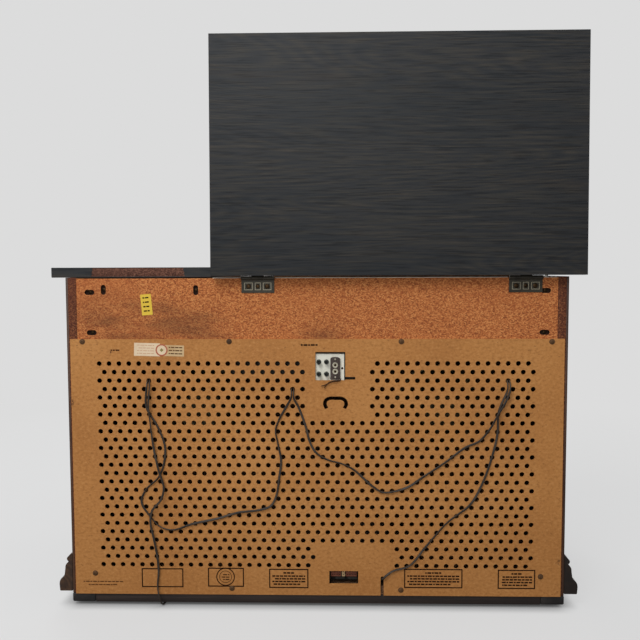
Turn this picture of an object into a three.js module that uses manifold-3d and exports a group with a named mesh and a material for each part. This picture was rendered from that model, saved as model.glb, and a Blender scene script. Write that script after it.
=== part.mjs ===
// Console stereo cabinet with a lift lid over a record changer and a receiver.
// Millimetres, +Z up. The front faces -Y and the perforated back faces +Y.
// The origin is on the floor, at the centre of the object's box with the lid open.
// Left and right are those of a person who stands in front of the cabinet.
import * as THREE from 'three';
import { mergeVertices } from 'three/addons/utils/BufferGeometryUtils.js';
import Module from 'manifold-3d';

const wasm = await Module();
wasm.setup();

// ---------------------------------------------------------------- driving dimensions
const GAP = 0.3; // clearance between two pieces that touch
const BODY_HALF = 478.5; // half the width over the side panels
const BODY_DEPTH = 425;
const SIDE_T = 20.5;
const TOP_DEPTH = 447;
const TOP_HALF = 505; // half the width over the top
const TOP_T = 19;
const TOP_UNDERSIDE = 642;
const LID_SPLIT = 197.3; // middle of the gap between the lid and the fixed top
const LID_GAP = 3;
const OPEN_ANGLE = 88.6; // degrees the lid has turned when it stands open
const HINGE_R = 4; // outer radius of the hinge knuckles
const HINGE_Z = 640.2;
const GLIDE_H = 6;
const FRAME_T = 18; // base frame and bottom board
const PANEL_T = 3.2; // hardboard back
const HOLE_R = 4.75; // perforation in the back
const DECK_TOP = 554;
const DECK_T = 12;

const radians = THREE.MathUtils.degToRad;
const lidRise = TOP_UNDERSIDE + TOP_T - HINGE_Z; // lid's outer face above the hinge axis, closed
const hingeBack = HINGE_R + 0.2; // hinge axis behind the rear faces
const openLean = radians(OPEN_ANGLE);
// The open lid's outer face reaches this far behind the cabinet's rear faces.
const lidReach = hingeBack - hingeBack * Math.cos(openLean) + lidRise * Math.sin(openLean);
const REAR = (TOP_DEPTH - lidReach) / 2; // rear faces of the sides and the rail
const FRONT = REAR - BODY_DEPTH;
const HINGE_Y = REAR + hingeBack;
const SIDE_IN = BODY_HALF - SIDE_T; // inner faces of the sides
const INNER = SIDE_IN - GAP; // half the width of what fits between the sides
const BASE_TOP = GLIDE_H + FRAME_T;
const BODY_TOP = TOP_UNDERSIDE - GAP;
const FACE_T = 18; // front frame
const RAIL_T = 16; // rear rail
const PANEL_FRONT = REAR + GAP;
const PANEL_BACK = PANEL_FRONT + PANEL_T;
const BOARD_TOP = BASE_TOP + FRAME_T; // top of the bottom board
const BAFFLE_FRONT = FRONT + FACE_T + 1.6;
const BAFFLE_BACK = BAFFLE_FRONT + 12;

// ---------------------------------------------------------------- geometry helpers
const group = new THREE.Group();

function finish(color, roughness, metalness = 0) {
  return new THREE.MeshStandardMaterial({ color, roughness, metalness });
}

function add(name, geometry, material, parent = group) {
  const mesh = new THREE.Mesh(geometry, material);
  mesh.name = name;
  parent.add(mesh);
  return mesh;
}

// A box between two corners.
function box(x0, x1, y0, y1, z0, z1) {
  const geometry = new THREE.BoxGeometry(x1 - x0, y1 - y0, z1 - z0);
  geometry.translate((x0 + x1) / 2, (y0 + y1) / 2, (z0 + z1) / 2);
  return geometry;
}

// The solid that manifold-3d works on, its faces turned outward.
function solid(geometry) {
  const bare = geometry.clone();
  bare.deleteAttribute('normal');
  bare.deleteAttribute('uv');
  const merged = mergeVertices(bare, 1e-4);
  const vertProperties = new Float32Array(merged.attributes.position.array);
  const triVerts = new Uint32Array(merged.index.array);
  if (volume(vertProperties, triVerts) < 0) {
    triVerts.reverse();
  }
  return new wasm.Manifold(new wasm.Mesh({ numProp: 3, vertProperties, triVerts }));
}

function volume(points, corners) {
  const [a, b, c] = [new THREE.Vector3(), new THREE.Vector3(), new THREE.Vector3()];
  let sum = 0;
  for (let i = 0; i < corners.length; i += 3) {
    a.fromArray(points, corners[i] * 3);
    b.fromArray(points, corners[i + 1] * 3);
    c.fromArray(points, corners[i + 2] * 3);
    sum += a.dot(b.cross(c));
  }
  return sum;
}

function toGeometry(manifold) {
  const mesh = manifold.getMesh();
  const geometry = new THREE.BufferGeometry();
  const points = new Float32Array(mesh.numVert * 3);
  for (let i = 0; i < mesh.numVert; i += 1) {
    points.set(mesh.vertProperties.subarray(i * mesh.numProp, i * mesh.numProp + 3), i * 3);
  }
  geometry.setAttribute('position', new THREE.BufferAttribute(points, 3));
  geometry.setIndex(new THREE.BufferAttribute(new Uint32Array(mesh.triVerts), 1));
  geometry.computeVertexNormals();
  return geometry;
}

function join(...pieces) {
  return toGeometry(pieces.map(solid).reduce((whole, piece) => whole.add(piece)));
}

function cut(body, ...tools) {
  return toGeometry(tools.map(solid).reduce((rest, tool) => rest.subtract(tool), solid(body)));
}

// An outline extruded by one unit, with every point (u, v, w) then sent to its place.
function sweepOne(outline, place, curveSegments, w0, w1) {
  const bare = new THREE.Shape(outline.getPoints(curveSegments));
  const geometry = new THREE.ExtrudeGeometry(bare, { depth: 1, bevelEnabled: false });
  const points = geometry.attributes.position;
  for (let i = 0; i < points.count; i += 1) {
    const w = w0 + points.getZ(i) * (w1 - w0);
    points.setXYZ(i, ...place(points.getX(i), points.getY(i), w));
  }
  return solid(geometry);
}

// The same, with the outline's holes cut through.
function sweep(outline, place, curveSegments = 4) {
  let swept = sweepOne(outline, place, curveSegments, 0, 1);
  for (const hole of outline.holes) {
    swept = swept.subtract(sweepOne(hole, place, curveSegments, -1, 2));
  }
  return toGeometry(swept);
}

// A plate that lies flat, and one that stands facing +Y.
const flatPlate = (outline, z0, z1, segments) => (
  sweep(outline, (u, v, w) => [u, v, z0 + w * (z1 - z0)], segments));
const standingPlate = (outline, y0, y1, segments) => (
  sweep(outline, (u, v, w) => [u, y0 + w * (y1 - y0), v], segments));

function rectangle(x0, x1, z0, z1) {
  const shape = new THREE.Shape();
  shape.moveTo(x0, z0);
  shape.lineTo(x1, z0);
  shape.lineTo(x1, z1);
  shape.lineTo(x0, z1);
  shape.closePath();
  return shape;
}

// A slot with round ends, from (x0, z0) to (x1, z1) between the centres of its ends.
function stadium(x0, z0, x1, z1, r) {
  const along = Math.atan2(z1 - z0, x1 - x0);
  const shape = new THREE.Shape();
  shape.absarc(x1, z1, r, along - Math.PI / 2, along + Math.PI / 2, false);
  shape.absarc(x0, z0, r, along + Math.PI / 2, along + Math.PI * 1.5, false);
  shape.closePath();
  return shape;
}

function circle(x, z, r) {
  const shape = new THREE.Shape();
  shape.absarc(x, z, r, 0, Math.PI * 2, false);
  return shape;
}

const points2 = (pairs) => pairs.map(([r, h]) => new THREE.Vector2(r, h));

// A turned piece about the Y axis through (x, z), or about the Z axis through (x, y).
function turnedY(profile, x, z, segments = 24) {
  const geometry = new THREE.LatheGeometry(points2(profile), segments);
  geometry.translate(x, 0, z);
  return toGeometry(solid(geometry));
}

function turnedZ(profile, x, y, segments = 24) {
  const geometry = new THREE.LatheGeometry(points2(profile), segments);
  geometry.rotateX(Math.PI / 2);
  geometry.translate(x, y, 0);
  return toGeometry(solid(geometry));
}

// A round bar along X, Y or Z between two places on that axis.
function barX(x0, x1, y, z, r, segments = 16) {
  const geometry = new THREE.CylinderGeometry(r, r, x1 - x0, segments);
  geometry.rotateZ(Math.PI / 2);
  geometry.translate((x0 + x1) / 2, y, z);
  return geometry;
}

function barY(y0, y1, x, z, r, segments = 16) {
  const geometry = new THREE.CylinderGeometry(r, r, y1 - y0, segments);
  geometry.translate(x, (y0 + y1) / 2, z);
  return geometry;
}

function barZ(z0, z1, x, y, r, segments = 16) {
  const geometry = new THREE.CylinderGeometry(r, r, z1 - z0, segments);
  geometry.rotateX(Math.PI / 2);
  geometry.translate(x, y, (z0 + z1) / 2);
  return geometry;
}

// A smooth curve through listed points. Its steps fall on the points, and between two points
// that lie further apart than the longest step they fall evenly.
class Route extends THREE.Curve {
  constructor(places, longestStep) {
    super();
    const corners = places.map((p) => new THREE.Vector3(...p));
    this.smooth = new THREE.CatmullRomCurve3(corners, false, 'centripetal');
    this.stops = [0];
    for (let i = 1; i < corners.length; i += 1) {
      const pieces = Math.ceil(corners[i].distanceTo(corners[i - 1]) / longestStep);
      for (let k = 1; k <= pieces; k += 1) {
        this.stops.push((i - 1 + k / pieces) / (corners.length - 1));
      }
    }
  }

  getPoint(u, target) {
    const at = u * (this.stops.length - 1);
    const i = Math.min(Math.floor(at), this.stops.length - 2);
    return this.smooth.getPoint(THREE.MathUtils.lerp(this.stops[i], this.stops[i + 1], at - i), target);
  }

  getUtoTmapping(u) {
    return u;
  }
}

function tube(places, r, sides, longestStep) {
  const section = new THREE.Shape();
  for (let i = 0; i < sides; i += 1) {
    const turn = (i / sides) * Math.PI * 2;
    const corner = [r * Math.cos(turn), r * Math.sin(turn)];
    if (i === 0) {
      section.moveTo(...corner);
    } else {
      section.lineTo(...corner);
    }
  }
  section.closePath();
  const extrudePath = new Route(places, longestStep);
  const options = { steps: extrudePath.stops.length - 1, extrudePath, bevelEnabled: false };
  return toGeometry(solid(new THREE.ExtrudeGeometry(section, options)));
}

// ---------------------------------------------------------------- finishes
const darkWood = finish('#3a2c26', 0.55);
const sideWood = finish('#5a3d2e', 0.6);
const chipboard = finish('#b0743f', 0.9);
const hardboard = finish('#b5824c', 0.75);
const laminate = finish('#3a3a3e', 0.4);
const blackEdge = finish('#2a2321', 0.6);
const bronze = finish('#3b2c20', 0.4, 0.8);
const zinc = finish('#b9b8b0', 0.35, 0.9);
const steel = finish('#c9ccd0', 0.25, 0.95);
const phenolic = finish('#5a4a3c', 0.7);
const brownVinyl = finish('#4a382c', 0.55);
const blackPlastic = finish('#1b1b1c', 0.4);
const clothFinish = finish('#7a6440', 0.95);
const paper = finish('#55534e', 0.95);

// ---------------------------------------------------------------- base
const RUNNER_W = 46;
const BASE_HALF = BODY_HALF + 1;
const BASE_RAIL_W = 60;
const GLIDE_IN = 40; // glide centres from the base frame's front and rear faces
const GLIDE_R = 11;
const GLIDE_FACE_R = 8; // flat underside of a glide

function makeGlides() {
  const profile = [[0, 0], [GLIDE_FACE_R, 0], [GLIDE_R, 2.5], [GLIDE_R, GLIDE_H - GAP], [0, GLIDE_H - GAP]];
  const x = BASE_HALF - RUNNER_W / 2;
  for (const [side, sign] of [['left', -1], ['right', 1]]) {
    for (const [end, y] of [['front', FRONT + GLIDE_IN], ['rear', REAR - GLIDE_IN]]) {
      add(`glide_${end}_${side}`, turnedZ(profile, sign * x, y, 20), steel);
    }
  }
}

function makeBase() {
  const outline = rectangle(-BASE_HALF, BASE_HALF, FRONT, REAR);
  const innerHalf = BASE_HALF - RUNNER_W;
  const inside = rectangle(-innerHalf, innerHalf, FRONT + BASE_RAIL_W, REAR - BASE_RAIL_W);
  outline.holes.push(inside);
  add('base_frame', flatPlate(outline, GLIDE_H, BASE_TOP), blackEdge);
  const board = box(-INNER, INNER, FRONT + FACE_T + GAP, REAR, BASE_TOP + GAP, BOARD_TOP);
  add('bottom_board', board, chipboard);
}

// The base moulding's section: u stands out from the cabinet, v is height over its lower edge.
const MOULDING_Z = 28;

function mouldingOutline() {
  const shape = new THREE.Shape();
  shape.moveTo(0, 0);
  shape.lineTo(25, 0);
  shape.lineTo(26, 13);
  shape.quadraticCurveTo(26, 25, 16.5, 28);
  shape.quadraticCurveTo(14.4, 38, 13.4, 50);
  shape.quadraticCurveTo(11.5, 56, 6.2, 58);
  shape.quadraticCurveTo(11.8, 62, 9.8, 66);
  shape.lineTo(1, 75);
  shape.lineTo(0, 75);
  shape.closePath();
  return shape;
}

function makeMouldings() {
  const outline = mouldingOutline();
  const side = (sign) => sweep(outline, (u, v, w) => {
    const out = GAP + u;
    const front = FRONT - out + GAP;
    return [sign * (BODY_HALF + out), front + w * (REAR - front), MOULDING_Z + v];
  });
  add('base_moulding_left', side(-1), darkWood);
  add('base_moulding_right', side(1), darkWood);
  const front = sweep(outline, (u, v, w) => {
    const out = GAP + u;
    return [(2 * w - 1) * (BODY_HALF + out - GAP), FRONT - out, MOULDING_Z + v];
  });
  add('base_moulding_front', front, darkWood);
}

// ---------------------------------------------------------------- carcass
const RAIL_BOTTOM = 500;
const RAIL_TOP = 640;
const POCKET_R = 4.75;
const POCKET_DEPTH = 5;

function makeCarcass() {
  const z0 = BASE_TOP + GAP;
  add('side_panel_left', box(-BODY_HALF, -SIDE_IN, FRONT, REAR, z0, BODY_TOP), sideWood);
  add('side_panel_right', box(SIDE_IN, BODY_HALF, FRONT, REAR, z0, BODY_TOP), sideWood);
  const rail = box(-INNER, INNER, REAR - RAIL_T, REAR, RAIL_BOTTOM, RAIL_TOP);
  // Screw pockets: [x, z, upright or not].
  const pockets = [
    [432.5, 613.7, false], [429.8, 536.4, false], [-435, 615, false], [-433.8, 536, false],
    [405.7, 618.5, true], [228.3, 617.4, true],
  ];
  const tools = pockets.map(([x, z, upright]) => {
    const [dx, dz] = upright ? [0, POCKET_R] : [POCKET_R, 0];
    const outline = stadium(x - dx, z - dz, x + dx, z + dz, POCKET_R);
    return standingPlate(outline, REAR - POCKET_DEPTH, REAR + 1, 6);
  });
  add('rear_rail', cut(rail, ...tools), chipboard);
}

const CHANGER_CUTOUT = [-430, -130, -135, 125]; // x, x, y, y
const RECEIVER_CUTOUT = [-82, 167, -165, 172];

function makeDeck() {
  const y0 = BAFFLE_BACK + GAP;
  const y1 = REAR - RAIL_T - GAP;
  const split = [LID_SPLIT - 7, LID_SPLIT + 11];
  add('lid_partition', box(...split, y0, y1, RAIL_BOTTOM, BODY_TOP), chipboard);
  const outline = rectangle(-INNER, split[0] - GAP, y0, y1);
  outline.holes.push(rectangle(...CHANGER_CUTOUT));
  outline.holes.push(rectangle(...RECEIVER_CUTOUT));
  add('deck_board', flatPlate(outline, DECK_TOP - DECK_T, DECK_TOP), blackPlastic);
}

function makeFixedTop() {
  const y0 = REAR - TOP_DEPTH;
  const z1 = TOP_UNDERSIDE + TOP_T;
  add('fixed_top', box(LID_SPLIT + LID_GAP / 2, TOP_HALF, y0, REAR, TOP_UNDERSIDE, z1), laminate);
}

// ---------------------------------------------------------------- front
const BAY_BOTTOM = 112;
const BAY_TOP = 591;
const BAY_OUT = 430; // outer edge of a side bay
const BAY_IN = 136; // inner edge of a side bay
const CENTRE_HALF = 98;
const FRET_FRONT = FRONT + 10;
const FRET_BACK = FRONT + FACE_T - GAP;
const FRET_BORDER = 14;
const FRET_COLUMNS = 3;
const FRET_ROWS = 4;
const FRET_WEB = 5;
const SPEAKER_X = 281;
const SPEAKER_Z = 325;
const BAFFLE_HOLE_R = 89;

// One opening of the fretwork: an ogee, pointed at the top and bottom and round at the sides.
function ogee(x, z, a, b) {
  const shape = new THREE.Shape();
  shape.moveTo(x, z + b);
  shape.bezierCurveTo(x, z + b * 0.4, x + a, z + b * 0.6, x + a, z);
  shape.bezierCurveTo(x + a, z - b * 0.6, x, z - b * 0.4, x, z - b);
  shape.bezierCurveTo(x, z - b * 0.4, x - a, z - b * 0.6, x - a, z);
  shape.bezierCurveTo(x - a, z + b * 0.6, x, z + b * 0.4, x, z + b);
  return shape;
}

function fretwork(x0, x1) {
  const [z0, z1] = [BAY_BOTTOM + GAP, BAY_TOP - GAP];
  const plate = solid(box(x0, x1, FRET_FRONT, FRET_BACK, z0, z1));
  const [fx0, fx1, fz0, fz1] = [x0 + FRET_BORDER, x1 - FRET_BORDER, z0 + FRET_BORDER, z1 - FRET_BORDER];
  const field = solid(box(fx0, fx1, FRET_FRONT - 1, FRET_BACK + 1, fz0, fz1));
  const pitchX = (fx1 - fx0) / FRET_COLUMNS;
  const pitchZ = (fz1 - fz0) / FRET_ROWS;
  const [a, b] = [pitchX / 2 - FRET_WEB / 2, pitchZ / 2 - FRET_WEB];
  let openings = null;
  const open = (x, z) => {
    const tool = solid(standingPlate(ogee(x, z, a, b), FRET_FRONT - 1, FRET_BACK + 1, 3));
    openings = openings ? openings.add(tool) : tool;
  };
  for (let i = 0; i <= FRET_COLUMNS; i += 1) {
    for (let j = 0; j <= FRET_ROWS; j += 1) {
      open(fx0 + i * pitchX, fz0 + j * pitchZ);
      if (i < FRET_COLUMNS && j < FRET_ROWS) {
        open(fx0 + (i + 0.5) * pitchX, fz0 + (j + 0.5) * pitchZ);
      }
    }
  }
  return toGeometry(plate.subtract(openings.intersect(field)));
}

function makeFront() {
  const outline = rectangle(-INNER, INNER, BASE_TOP + GAP, BODY_TOP);
  outline.holes.push(rectangle(-BAY_OUT, -BAY_IN, BAY_BOTTOM, BAY_TOP));
  outline.holes.push(rectangle(-CENTRE_HALF, CENTRE_HALF, BAY_BOTTOM, BAY_TOP));
  outline.holes.push(rectangle(BAY_IN, BAY_OUT, BAY_BOTTOM, BAY_TOP));
  add('front_frame', standingPlate(outline, FRONT, FRONT + FACE_T), darkWood);
  add('fretwork_left', fretwork(-BAY_OUT + GAP, -BAY_IN - GAP), darkWood);
  add('fretwork_right', fretwork(BAY_IN + GAP, BAY_OUT - GAP), darkWood);
  makeCentrePanel();
  const clothBack = BAFFLE_FRONT - GAP;
  const [half, z0, z1] = [452, 62, 620];
  add('grille_cloth', box(-half, half, FRONT + FACE_T + GAP, clothBack, z0, z1), clothFinish);
  const board = rectangle(-INNER, INNER, BOARD_TOP + GAP, BODY_TOP);
  board.holes.push(circle(-SPEAKER_X, SPEAKER_Z, BAFFLE_HOLE_R));
  board.holes.push(circle(SPEAKER_X, SPEAKER_Z, BAFFLE_HOLE_R));
  add('baffle_board', standingPlate(board, BAFFLE_FRONT, BAFFLE_BACK, 12), chipboard);
}

// A raised panel: a thin field with a bevelled centre.
function makeCentrePanel() {
  const half = CENTRE_HALF - GAP;
  const [z0, z1] = [BAY_BOTTOM + GAP, BAY_TOP - GAP];
  const slab = box(-half, half, FRONT + 12, FRONT + FACE_T - GAP, z0, z1);
  const rim = 18;
  const bevel = 14;
  const raised = sweep(rectangle(-1, 1, -1, 1), (u, v, w) => {
    const inset = rim + bevel * w;
    const middle = (z0 + z1) / 2;
    return [u * (half - inset), FRONT + 12.5 - 8.5 * w, middle + v * ((z1 - z0) / 2 - inset)];
  });
  add('centre_panel', join(slab, raised), darkWood);
}

// ---------------------------------------------------------------- speakers
function makeSpeakers() {
  const y = BAFFLE_BACK + GAP;
  const basket = [
    [90, y], [101.5, y], [101.5, y + 2.5], [92, y + 3], [50, y + 60], [44, y + 62], [44, y + 92],
    [0, y + 92], [0, y + 66], [40, y + 66], [44, y + 57], [88, y + 3], [90, y],
  ];
  const cone = [
    [0, y + 28], [12, y + 29.5], [22, y + 36], [84, y + 3], [88, y + 1], [88, y + 2.2],
    [84, y + 4.4], [22, y + 40], [22, y + 58], [0, y + 58],
  ];
  for (const [side, x] of [['left', -SPEAKER_X], ['right', SPEAKER_X]]) {
    add(`speaker_frame_${side}`, turnedY(basket, x, SPEAKER_Z, 28), zinc);
    add(`speaker_cone_${side}`, turnedY(cone, x, SPEAKER_Z, 28), paper);
  }
}

// ---------------------------------------------------------------- back panel and its fittings
const PANEL_HALF = 471;
const PANEL_TOP = 524;
const SLOT_X = -127.5;
const SLOT_HALF = 3;
const SLOT_TOP = 62.4;
const HOOKS = [[320.4, 444], [44.2, 427.5], [-365.3, 444]];

// The inverted U slot, as one closed band round a middle line.
function uSlot() {
  const [cx, top, half, foot, r] = [-37.8, 409.9, 20.3, 390.5, 3];
  const shoulder = 9;
  const shape = new THREE.Shape();
  shape.moveTo(cx - half + 3 - r, foot);
  shape.lineTo(cx - half - r, top - shoulder - 1);
  shape.lineTo(cx - half + shoulder - 1, top + r);
  shape.lineTo(cx + half - shoulder + 1, top + r);
  shape.lineTo(cx + half + r, top - shoulder - 1);
  shape.lineTo(cx + half - 3 + r, foot);
  shape.lineTo(cx + half - 3 - r, foot);
  shape.lineTo(cx + half - r, top - shoulder - 2);
  shape.lineTo(cx + half - shoulder - 1, top - r);
  shape.lineTo(cx - half + shoulder + 1, top - r);
  shape.lineTo(cx - half + r, top - shoulder - 2);
  shape.lineTo(cx - half + 3 + r, foot);
  shape.closePath();
  return shape;
}

const WINDOW = [-81.1, -25.2, 46.8, 72.2];
const PLATE_OPENING = [-56.6, 0.3, 444.7, 499.2];

function makeBackPanel() {
  const outline = new THREE.Shape();
  outline.moveTo(-PANEL_HALF, BASE_TOP);
  outline.lineTo(SLOT_X - SLOT_HALF, BASE_TOP);
  outline.lineTo(SLOT_X - SLOT_HALF, SLOT_TOP);
  outline.lineTo(SLOT_X + SLOT_HALF, SLOT_TOP);
  outline.lineTo(SLOT_X + SLOT_HALF, BASE_TOP);
  outline.lineTo(PANEL_HALF, BASE_TOP);
  outline.lineTo(PANEL_HALF, PANEL_TOP);
  outline.lineTo(-PANEL_HALF, PANEL_TOP);
  outline.closePath();
  const [x0, x1, z0, z1] = PLATE_OPENING;
  const opening = new THREE.Shape();
  opening.moveTo(x0, z1);
  opening.lineTo(x0, z0 + 6.6);
  opening.lineTo(x0 - 19, z0 + 6.6);
  opening.lineTo(x0 - 19, z0 + 2.1);
  opening.lineTo(x0, z0 + 2.1);
  opening.lineTo(x0, z0);
  opening.lineTo(x1, z0);
  opening.lineTo(x1, z1);
  opening.closePath();
  outline.holes.push(opening, uSlot(), rectangle(...WINDOW));
  outline.holes.push(...HOOKS.map(([x, z]) => circle(x, z, HOLE_R)));
  add('back_panel', standingPlate(outline, PANEL_FRONT, PANEL_BACK, 8), hardboard);
}

const JACKS = [[-6, 479.8], [-20.6, 479.8], [-6, 456.5], [-20.6, 456.5]];
const JACK_R = 4.2;
const PLATE_Y = REAR - 3.2; // front of the jack plate

// The jack plate is a channel that stands off the receiver chassis.
function makeJackPlate() {
  const [x0, x1, z0, z1] = [-54.5, 8, 437, 495];
  const face = box(x0, x1, PLATE_Y, PLATE_Y + 1.2, z0, z1);
  const lower = box(x0, x1, REAR - RAIL_T - GAP, PLATE_Y + 1.2, z0, z0 + 1.2);
  const upper = box(x0, x1, REAR - RAIL_T - GAP, PLATE_Y + 1.2, z1 - 1.2, z1);
  const holes = JACKS.map(([x, z]) => barY(PLATE_Y - 1, PLATE_Y + 2, x, z, JACK_R + 0.5, 12));
  add('jack_plate', cut(join(face, lower, upper), ...holes), zinc);
  const strip = box(-28, 1.5, PLATE_Y - 3, PLATE_Y - GAP, 449, 487);
  const barrels = JACKS.map(([x, z]) => barY(PLATE_Y - 2, PLATE_Y + 11, x, z, JACK_R, 12));
  add('rca_jacks', join(strip, ...barrels), phenolic);
  const y = PLATE_Y + 1.2 + GAP;
  const [tx, tz0, tz1] = [-37.4, 446.5, 489.3];
  const block = box(tx - 9.3, tx + 9.3, y, y + 5, tz0, tz1);
  const screws = [474.3, 461.4].map((z) => barY(y + 4, y + 9, tx, z, 4, 12));
  add('terminal_block', join(block, ...screws), phenolic);
}

// ---------------------------------------------------------------- cords
const LIE = PANEL_BACK + 3; // a cord's middle line where it lies on the back
const OVER = PANEL_BACK + 8; // the same where it lies over another strand
const CORD_R = 2.1;

// A bight pushed through a hole: in on one side, round behind the hardboard, and out.
function bight([x, z], sideIn) {
  const at = (dx, y, dz) => [x + dx * sideIn, y, z + dz];
  const half = [[2.6, PANEL_BACK + 9, -15], [2.2, PANEL_BACK + 2, -0.6], [2.3, REAR - 4, 0], [8.6, REAR - 17, 0]];
  const back = half.map(([dx, y, dz]) => at(-dx, y, dz)).reverse();
  return [...half.map((p) => at(...p)), at(0, REAR - 26, 0), ...back];
}

// The mains cord: out of the slot, over three hooked bights, and down to the floor under the base.
const CORD_ROUTE = [
  [SLOT_X, REAR - 6, 57], [SLOT_X - 0.5, PANEL_BACK + 2, 57], [SLOT_X - 7, LIE + 2, 65],
  [-148, LIE, 74], [-180, LIE, 85], [-210, LIE, 121], [-252, LIE, 170], [-295, LIE, 205],
  [-318, LIE, 246], [-337, LIE, 302], [-346, LIE, 345], [-347, LIE + 2, 385],
  ...bight(HOOKS[2], 1),
  [-359, OVER + 1, 404], [-345, OVER + 2, 380], [-332, OVER, 355], [-311, LIE, 328], [-285, LIE, 316],
  [-247, LIE, 287], [-204, LIE, 258], [-178, LIE, 240], [-152, LIE, 231], [-128, LIE, 229],
  [-108, LIE, 241], [-72, LIE, 273], [-50, LIE, 284], [-22, LIE, 292], [0, LIE, 306],
  [12, LIE, 328], [19, LIE, 355], [33, LIE, 394],
  ...bight(HOOKS[1], -1),
  [56, LIE, 395], [70, LIE, 370], [77, LIE, 349], [73, LIE, 324], [67, LIE, 290], [71, LIE, 256],
  [77, LIE, 220], [88, LIE, 201], [110, LIE, 193], [150, LIE, 188], [191, LIE, 176], [240, LIE, 165],
  [278, LIE, 153], [302, LIE, 159], [322, LIE, 180], [338, LIE, 208], [329, LIE, 232],
  [304, LIE, 257], [293, LIE, 285], [291, LIE, 318], [304, LIE, 355], [325, LIE, 393],
  ...bight(HOOKS[0], 1),
  [320, OVER + 1, 400], [317, OVER, 360], [311, OVER, 312], [302, OVER + 1, 270], [293, OVER + 1, 238],
  [299, OVER + 1, 214], [316, OVER + 1, 193], [320, OVER + 1, 170], [314, OVER, 136],
  [309, LIE + 1, 100], [307, LIE + 1, 70], [309, LIE + 2, 42], [305, LIE + 5, 19],
  [301, REAR + 5, 4.6], [298, REAR - 12, 2.4], [288, REAR - 60, 2.4], [272, REAR - 110, 2.4],
  [264, REAR - 146, 4.4], [262, REAR - 172, 7],
];

function makePowerCord() {
  add('power_cord', tube(CORD_ROUTE, CORD_R, 8, 34), brownVinyl);
  const [x, y, z] = CORD_ROUTE[CORD_ROUTE.length - 1];
  makePlug(x, y - 3 * GAP, z);
  const [sx, sy, sz] = CORD_ROUTE[0];
  const relief = [
    [0, sy - 22.3], [8, sy - 22.3], [8, sy - 19], [5.5, sy - 18], [3, sy - GAP], [0, sy - GAP],
  ];
  add('strain_relief', turnedY(relief, sx, sz, 16), blackPlastic);
}

// A two-blade plug that lies on its wide side, its cord end at (x, y, z).
function makePlug(x, y, z) {
  const half = 6.4; // half its thickness
  const outline = new THREE.Shape();
  outline.moveTo(-4, 0);
  outline.lineTo(4, 0);
  outline.lineTo(10.5, -14);
  outline.lineTo(10.5, -27);
  outline.lineTo(-10.5, -27);
  outline.lineTo(-10.5, -14);
  outline.closePath();
  const body = sweep(outline, (u, v, w) => [x + u, y + v, z - half + 2 * half * w]);
  const blades = [-6.35, 6.35].map((dx) => (
    box(x + dx - 0.75, x + dx + 0.75, y - 44, y - 26, z - 3.15, z + 3.15)));
  add('power_plug', join(body, ...blades), brownVinyl);
}

// The short pigtail of the built-in antenna: two wires that part near their ends.
function makePigtail() {
  const y = PANEL_BACK + 4;
  const r = 1.1;
  const main = [[-47.6, y - 3, 447], [-46, y - 1, 444.8], [-38, y, 444], [-28, y, 442], [-20.4, y - 1, 436.7]];
  const first = [...main, [-18, y - 1, 433.5], [-17.1, y - 1, 431]];
  const second = [[-22, y - 1, 437.8], [-17, y - 1, 435.6], [-10.6, y - 1, 434.3]];
  add('antenna_pigtail', join(tube(first, r, 8, 6), tube(second, r, 8, 6)), brownVinyl);
}

// ---------------------------------------------------------------- amplifier on the bottom board
function makeAmplifier() {
  const z0 = BOARD_TOP + GAP;
  const y1 = REAR - 28.6;
  const [x0, x1, y0, z1] = [-165, 30, 60, 92];
  const tray = cut(box(x0, x1, y0, y1, z0, z1), box(x0 + 1.5, x1 - 1.5, y0 + 1.5, y1 - 1.5, z0 - 1, z1 - 1.5));
  const sockets = [[-70, 9], [-46, 9]].map(([x, half]) => box(x - half, x + half, y1 - 1, y1 + 18, 50, 66));
  add('amplifier_chassis', join(tray, ...sockets), zinc);
  const lamination = box(-140, -70, 85, 150, z1 + GAP, z1 + 52);
  const windings = box(-130, -80, 72, 163, z1 + 10, z1 + 42);
  add('power_transformer', join(lamination, windings), phenolic);
}

// ---------------------------------------------------------------- receiver under the lid
const FACE_TOP = DECK_TOP + GAP + 3;
const KNOB_Y = -60;
const BUTTON_Y = 20;
const KNOBS = [['volume_knob', -45, 15], ['balance_knob', 15, 15], ['tone_knob', 75, 15], ['tuning_knob', 130, 22]];
const BUTTONS = [['button_phono', -45], ['button_am', 15], ['button_fm', 75]];
const BUTTON_HALF = [15, 8];
const DIAL = [-60, 150, 100, 150]; // the dial window: x, x, y, y

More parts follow.
